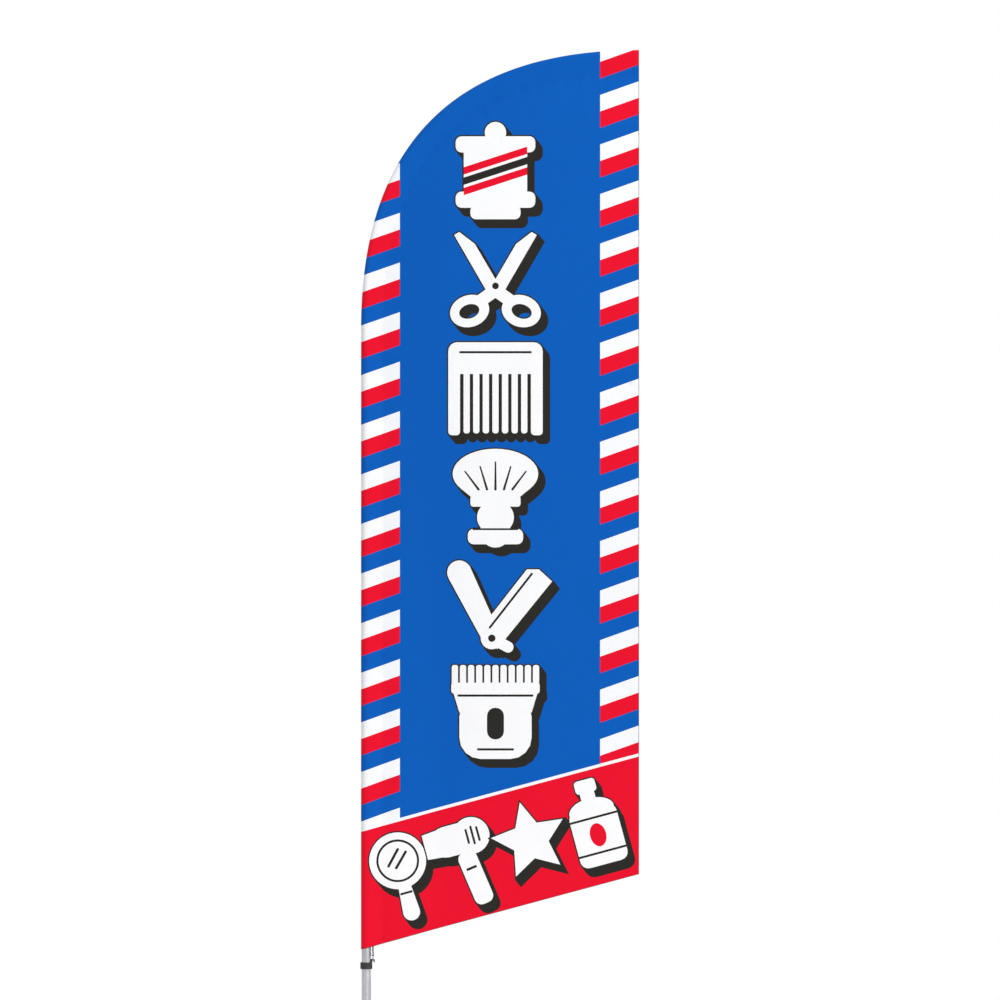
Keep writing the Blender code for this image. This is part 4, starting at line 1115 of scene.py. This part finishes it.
class Finish(Nodes):
    """One material, with the nodes that feed its Principled shader."""

    def __init__(self, name, **shader_values):
        self.material = bpy.data.materials.new(name)
        self.material.use_nodes = True
        super().__init__(self.material.node_tree)
        self.shader = self.tree.nodes["Principled BSDF"]
        self.feed(self.shader, shader_values)

    def paint(self, colour, roughness, **others):
        self.feed(self.shader, {"Base Color": colour, "Roughness": roughness, **others})

    def bump(self, height, distance, strength):
        """Gives the surface its relief, which is the last step, and returns the material."""
        inputs = {"Height": height, "Distance": distance, "Strength": strength}
        self.feed(self.shader, {"Normal": self.node("ShaderNodeBump", inputs=inputs)})
        return self.material

    def edges(self, radius):
        """1 along the piece's edges, falling to 0 a short way in from them."""
        rounded = self.node("ShaderNodeBevel", {"samples": 4}, {"Radius": radius})
        true = self.node("ShaderNodeNewGeometry").out("Normal")
        along = self.node("ShaderNodeVectorMath", {"operation": "DOT_PRODUCT"}, {0: rounded, 1: true})
        return (1.0 - along.out("Value")).between(0.02, 0.2)


# %% [markdown]
# ## Printed knitted cloth
#
# Flags are knitted polyester: light, matt, with fine upright ribs and tiny gaps that let the
# wind through. The print is dyed into the thread, so it has the cloth's own texture and varies
# very slightly from place to place. Its colour is also darkened a little where the knit's relief
# is low, which is painted shade. The ribs follow the cut cloth's own measurements, kept on
# the mesh in millimetres, so they turn with the cloth where it wraps the pole.

# %% Finish the printed cloth
TURN = 2 * math.pi


def printed_cloth():
    f = Finish("printed_cloth", **{"Specular IOR Level": 0.10, "Sheen Weight": 0.04, "Sheen Roughness": 0.5})
    ink = f.node("ShaderNodeAttribute", {"attribute_name": "ink"})
    thread = f.node("ShaderNodeAttribute", {"attribute_name": "thread_mm"}).out("Vector")
    x, y, _ = f.split(thread)
    ribs = (x * (TURN / 0.85)).sine()
    loops = (y * (TURN / 0.62) + ribs * 1.3).sine()
    knit = 0.5 + 0.28 * ribs + 0.22 * loops
    clouds = f.noise(thread * (0.001, 0.001, 0.001), 11.0, 2.0)
    fibres = f.noise(thread * (0.03, 0.002, 0.01), 9.0, 3.0, 0.6)
    # The knit term is painted shade, darker where the knit's relief is low; clouds and fibres vary the dye.
    tone = 0.91 + 0.05 * clouds + 0.04 * fibres + 0.08 * knit
    shade = f.node("ShaderNodeVectorMath", {"operation": "SCALE"}, {0: ink.out("Color"), "Scale": tone})
    f.paint(shade, 0.74 + 0.10 * fibres - 0.04 * knit)
    return f.bump(knit + 0.6 * fibres, 0.00022, 0.6)


def clear_thread():
    f = Finish("clear_thread", **{"Specular IOR Level": 0.4})
    ink = f.node("ShaderNodeAttribute", {"attribute_name": "ink"}).out("Color")
    ply = f.noise(f.place((900.0, 900.0, 900.0)), 1.0, 2.0)
    # The thread is painted darker than the cloth under it, as painted shade, darker still where the ply's
    # relief is low.
    shade = f.node("ShaderNodeVectorMath", {"operation": "SCALE"}, {0: ink, "Scale": 0.62 + 0.26 * ply})
    f.paint(shade, 0.42 + 0.15 * ply)
    return f.bump(ply, 0.00004, 0.4)


# %% [markdown]
# ## Webbing
#
# Narrow webbing is woven in a herringbone: ribs slant up to the middle and down again. Black
# polyester yarn has a soft sheen. Its raised ribs are painted lighter, partly as dust and partly
# as a painted highlight where they catch the light.

# %% Finish the strap and its thread
def webbing():
    f = Finish("webbing", **{"Specular IOR Level": 0.3, "Sheen Weight": 0.25, "Sheen Roughness": 0.4})
    where = f.place((1000.0, 1000.0, 1000.0))
    _, y, z = f.split(where)
    herringbone = (z * (TURN / 1.7) + abs(y) * (TURN / 1.9)).sine()
    yarns = (y * (TURN / 1.05)).sine()
    weave = 0.5 + 0.3 * herringbone + 0.2 * yarns
    fuzz = f.noise(where, 2.6, 4.0, 0.65)
    # Lighter on the raised weave: partly dust, partly a painted highlight on the ribs.
    colour = f.mix((weave * 0.7 + fuzz * 0.5).between(0.2, 1.1), (0.010, 0.010, 0.012), (0.050, 0.050, 0.056))
    f.paint(colour, 0.72 + 0.2 * fuzz - 0.1 * weave)
    return f.bump(weave + 0.5 * fuzz, 0.00018, 0.8)


def strap_thread_finish():
    f = Finish("strap_thread", **{"Specular IOR Level": 0.4})
    ply = f.noise(f.place((1400.0, 1400.0, 1400.0)), 1.0, 2.0)
    colour = f.mix(ply, (0.10, 0.10, 0.11), (0.20, 0.20, 0.21))
    f.paint(colour, 0.5 + 0.2 * ply)
    return f.bump(ply, 0.00005, 0.5)


# %% [markdown]
# ## Metals
#
# Drawn aluminium tube carries fine lines along its length, satin from its anodised skin, with
# rings of handling wear where one tube slides over the next. Zinc plate on steel is bright and
# a little cloudy. Chrome is the smoothest. It gives back only a little over half of the light,
# which is why it looks dark beside silver, and hairline scratches break up its reflections.

# %% Finish the metals
def aluminium():
    f = Finish("aluminium", Metallic=1.0)
    drawn = f.noise(f.place((1500.0, 1500.0, 6.0)), 1.0, 3.0, 0.6)
    rings = f.noise(f.place((6.0, 6.0, 1300.0)), 1.0, 2.0)
    clouds = f.noise(f.place(), 26.0, 3.0)
    rubbed = (clouds * 0.7 + rings * 0.5).between(0.62, 0.78)
    colour = f.mix(0.6 * drawn + 0.4 * clouds, (0.70, 0.71, 0.73), (0.86, 0.87, 0.89))
    f.paint(colour, 0.27 + 0.12 * drawn + 0.14 * rubbed + 0.05 * clouds)
    return f.bump(drawn + 0.4 * rings * rubbed, 0.00002, 0.6)


def steel():
    f = Finish("steel", Metallic=1.0)
    spangle = f.noise(f.place(), 210.0, 2.0, 0.6)
    fine = f.noise(f.place(), 1500.0, 2.0)
    worn = f.edges(0.0007)
    colour = f.mix(0.7 * spangle + 0.3 * worn, (0.50, 0.52, 0.56), (0.76, 0.77, 0.77))
    f.paint(colour, 0.25 + 0.14 * spangle + 0.06 * fine - 0.08 * worn)
    return f.bump(spangle + 0.4 * fine, 0.00002, 0.5)


def chrome():
    f = Finish("chrome", Metallic=1.0)
    across = f.noise(f.place((40.0, 40.0, 2600.0)), 1.0, 2.0)
    clouds = f.noise(f.place(), 60.0, 2.0)
    hairlines = across.between(0.66, 0.74)
    colour = f.mix(0.5 * clouds + 0.5 * hairlines, (0.50, 0.51, 0.53), (0.64, 0.65, 0.66))
    f.paint(colour, 0.07 + 0.05 * clouds + 0.16 * hairlines)
    return f.bump(across, 0.000006, 0.4)


# %% [markdown]
# ## Powder coat
#
# Powder is sprayed on dry and baked, so it flows into a skin with a faint orange-peel ripple.
# It is thinnest on sharp corners, and there the base chips and rubs bright first. A Bevel node
# finds those corners, and noise breaks the line of wear up.

# %% Finish the base's coat
def powder_coat():
    f = Finish("powder_coat", **{"Specular IOR Level": 0.5})
    peel = f.noise(f.place(), 620.0, 2.0, 0.5)
    grime = f.noise(f.place(), 34.0, 4.0, 0.6)
    chips = f.noise(f.place(), 480.0, 4.0, 0.7)
    bare = (f.edges(0.0011) * 0.62 + chips * 0.75).between(0.93, 1.0)
    scratch = f.noise(f.place((90.0, 900.0, 400.0)), 1.0, 2.0, 0.4)
    scuffs = (scratch * grime).between(0.42, 0.50)
    coat = f.mix(0.55 * grime + 0.45 * scuffs, (0.012, 0.012, 0.014), (0.045, 0.045, 0.048))
    colour = f.mix(bare, coat, (0.42, 0.42, 0.43))
    f.paint(colour, 0.40 + 0.12 * grime + 0.14 * scuffs - 0.06 * bare, Metallic=bare * 0.9)
    return f.bump(peel - 0.8 * bare, 0.00007, 0.55)


# %% [markdown]
# ## Plastics, rubber and glass fibre
#
# Moulded nylon has a fine spark-eroded grain from its tool and rubs shiny on its corners.
# Rubber is dull and gathers pale dust. A pulled glass-fibre rod shows its straight strands
# under clear resin.

# %% Finish the nylon, rubber and rods
def nylon():
    f = Finish("nylon", **{"Specular IOR Level": 0.5})
    grain = f.noise(f.place(), 1900.0, 3.0, 0.6)
    clouds = f.noise(f.place(), 90.0, 3.0)
    rubbed = f.edges(0.0009) * clouds
    colour = f.mix(0.5 * clouds + 0.5 * rubbed, (0.018, 0.018, 0.020), (0.050, 0.050, 0.053))
    f.paint(colour, 0.50 + 0.12 * grain - 0.16 * rubbed)
    return f.bump(grain, 0.00005, 0.5)


def rubber():
    f = Finish("rubber", **{"Specular IOR Level": 0.3})
    grain = f.noise(f.place(), 1300.0, 4.0, 0.65)
    dust = f.noise(f.place(), 70.0, 4.0, 0.65)
    up = f.split(f.node("ShaderNodeNewGeometry").out("Normal"))[2]
    settled = (dust + up.between(0.3, 1.0) * 0.18).between(0.48, 0.80)
    colour = f.mix(settled, (0.010, 0.010, 0.010), (0.060, 0.057, 0.052))
    f.paint(colour, 0.72 + 0.12 * grain + 0.10 * settled)
    return f.bump(grain + 0.5 * dust, 0.00008, 0.5)


def fibreglass():
    f = Finish("fibreglass", **{"Coat Roughness": 0.2})
    strands = f.noise(f.place((1900.0, 1900.0, 14.0)), 1.0, 3.0, 0.6)
    clouds = f.noise(f.place(), 40.0, 3.0)
    colour = f.mix(0.6 * strands + 0.4 * clouds, (0.70, 0.70, 0.62), (0.90, 0.90, 0.87))
    resin = 0.3 + 0.3 * clouds
    f.paint(colour, 0.36 + 0.18 * strands, **{"Coat Weight": resin})
    return f.bump(strands, 0.00003, 0.5)


kinds = (printed_cloth, webbing, aluminium, steel, chrome, powder_coat, nylon, rubber, fibreglass)
finishes = {kind.__name__: kind() for kind in kinds}
print(len(finishes), "finishes")

# %% [markdown]
# ## Softer edges on the solids
#
# No real edge is knife sharp: a small round catches a line of light, and that line is what
# makes a solid look solid. Modifiers do this without touching the solid's own mesh. The first
# joins its loose triangles, the next melts flat areas together, and then every sharp edge gets
# a narrow bevel whose width suits the material. Weighted normals keep the flats flat.

# %% Build the two small node groups
def node_group(name, build):
    """A node group that sends the solid through the nodes that build adds."""
    group = bpy.data.node_groups.new(name, "GeometryNodeTree")
    for way in ("INPUT", "OUTPUT"):
        group.interface.new_socket("Geometry", in_out=way, socket_type="NodeSocketGeometry")
    nodes = Nodes(group)
    nodes.feed(group.nodes.new("NodeGroupOutput"), {0: build(nodes, nodes.node("NodeGroupInput"))})
    return group


def join_triangles(nodes, solid):
    merged = nodes.node("GeometryNodeMergeByDistance", {}, {0: solid, "Distance": 0.00001})
    plain = nodes.node("GeometryNodeRemoveAttribute", {}, {0: merged, "Name": "custom_normal"})
    return nodes.node("GeometryNodeSetShadeSmooth", {}, {0: plain})


def mark_sharp(nodes, solid):
    angle = nodes.node("GeometryNodeInputMeshEdgeAngle")
    steep = nodes.node("ShaderNodeMath", {"operation": "GREATER_THAN"}, {0: angle, 1: math.radians(50)})
    inputs = {0: solid, "Selection": steep, "Shade Smooth": False}
    return nodes.node("GeometryNodeSetShadeSmooth", {"domain": "EDGE"}, inputs)


joined = node_group("join_triangles", join_triangles)
sharpened = node_group("mark_sharp", mark_sharp)

# %% Round the edges and give each solid its finish
BEVELS = {
    "aluminium": 0.0003,
    "steel": 0.0002,
    "chrome": 0.0003,
    "powder_coat": 0.0005,
    "nylon": 0.0004,
    "rubber": 0.0006,
    "fibreglass": 0.0003,
}


def soften(solid, width):
    solid.modifiers.new("join", "NODES").node_group = joined
    melt = solid.modifiers.new("melt", "DECIMATE")
    melt.decimate_type = "DISSOLVE"
    melt.angle_limit = math.radians(0.2)
    bevel = solid.modifiers.new("round", "BEVEL")
    bevel.width = width
    bevel.segments = 2
    bevel.limit_method = "ANGLE"
    bevel.angle_limit = math.radians(32)
    solid.modifiers.new("sharp", "NODES").node_group = sharpened
    weigh = solid.modifiers.new("weigh", "WEIGHTED_NORMAL")
    weigh.keep_sharp = True


for name, solid in frame["nodes"].items():
    kind = solid.material_slots[0].material.name.split(".")[0]
    solid.material_slots[0].material = finishes[kind]
    if kind in BEVELS:
        soften(solid, BEVELS[kind])
print("rounded", sum(bool(solid.modifiers) for solid in frame["nodes"].values()), "solids")

# %% [markdown]
# ## Fixing the new pieces to the pole
#
# Every piece made here moves with the pole, and each one takes its finish.

# %% Give each new piece its finish and fix it to the pole
for piece, kind, finish in (
    (flag_cloth, "printed_cloth", finishes["printed_cloth"]),
    (stitching, "printed_cloth", clear_thread()),
    (strap, "webbing", finishes["webbing"]),
    (strap_thread, "webbing", strap_thread_finish()),
    (pocket, "webbing", finishes["webbing"]),
    (leaf_spring, "steel", finishes["steel"]),
):
    piece.data.materials.append(finish)
    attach(piece, "pole")
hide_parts("flag_panel", "pole_sleeve")
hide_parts("webbing_tab")
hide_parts("tip_pocket")
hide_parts("button_spring")
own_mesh(leaf_spring)

# %% [markdown]
# ## Floor and light
#
# The object stands on a plain pale floor that fades into a white room, under two large soft
# lamps. The brighter one is up to the right in front, so the folds of the cloth show as gentle
# changes of tone, and the other lifts the shadows.

# %% Lay the floor
FLOOR_R = 2.4
FLOOR_SIDES = 96


def floor_finish():
    f = Finish("floor", **{"Specular IOR Level": 0.2})
    clouds = f.noise(f.place(), 2.2, 3.0)
    speck = f.noise(f.place(), 260.0, 3.0)
    x, y, _ = f.split(f.place())
    out = (x * x + y * y) ** 0.5
    colour = f.mix(0.5 * clouds + 0.5 * speck, (0.80, 0.80, 0.79), (0.86, 0.86, 0.85))
    f.paint(colour, 0.6 + 0.1 * speck, Alpha=1.0 - out.between(0.9, FLOOR_R - 0.05))
    return f.bump(speck, 0.0001, 0.2)


rim = [(*place, 0.0) for place in disc(0, 0, FLOOR_R, FLOOR_SIDES)]
wedges = [(0, i + 1, (i + 1) % FLOOR_SIDES + 1) for i in range(FLOOR_SIDES)]
floor = link_mesh("floor", [(0.0, 0.0, 0.0), *rim], wedges)
floor.location.z = -0.0002
floor.data.materials.append(floor_finish())

# %% Light the room
world = bpy.data.worlds.new("soft_room")
bpy.context.scene.world = world
world.use_nodes = True
room = Nodes(world.node_tree)
up = room.split(room.node("ShaderNodeTexCoord").out("Generated"))[2]
glow = 0.42 + 0.42 * up.between(-0.1, 1.0)
lit = room.node("ShaderNodeBackground", {}, {"Color": (0.97, 0.98, 1.0), "Strength": glow})
seen = room.node("ShaderNodeBackground", {}, {"Color": (1.0, 1.0, 1.0)})
straight = room.node("ShaderNodeLightPath").out("Is Camera Ray")
both = room.node("ShaderNodeMixShader", {}, {0: straight, 1: lit, 2: seen})
room.feed(world.node_tree.nodes["World Output"], {"Surface": both})


def soft_lamp(name, place, aim, size, power):
    lamp = bpy.data.lights.new(name, "AREA")
    lamp.shape, lamp.size, lamp.size_y, lamp.energy = "RECTANGLE", *size, power
    made = link(name, lamp)
    made.location = place
    made.rotation_euler = (Vector(aim) - Vector(place)).to_track_quat("-Z", "Y").to_euler()


flag_middle = (EDGE_X + WIDTH / 2, 0.0, BOTTOM_Z + HEIGHT / 2)
soft_lamp("key_lamp", (4.2, -5.4, 4.0), flag_middle, (2.6, 2.6), 320.0)
soft_lamp("fill_lamp", (-4.2, 4.6, 3.8), flag_middle, (3.0, 3.0), 230.0)
bpy.context.scene.view_settings.view_transform = "Standard"

# %% [markdown]
# ## Camera
#
# The flag is seen square on through a long lens from far back, which keeps its outline true.

# %% Place the camera
FRAME_SIDE = 2.7104  # what the camera takes in at the flag, in metres
camera_data = bpy.data.cameras.new("camera")
camera_data.lens = 200.0
camera_data.sensor_width = 36.0
camera = link("camera", camera_data)
far = FRAME_SIDE / 2 / (camera_data.sensor_width / 2 / camera_data.lens)
camera.location = (EDGE_X + WIDTH / 2, -far, BOTTOM_Z + 1.2183)
camera.rotation_euler = (math.radians(90), 0.0, 0.0)
camera_data.clip_start, camera_data.clip_end = 0.1, 100.0
bpy.context.scene.camera = camera
print(f"camera {far:.2f} m from the flag")
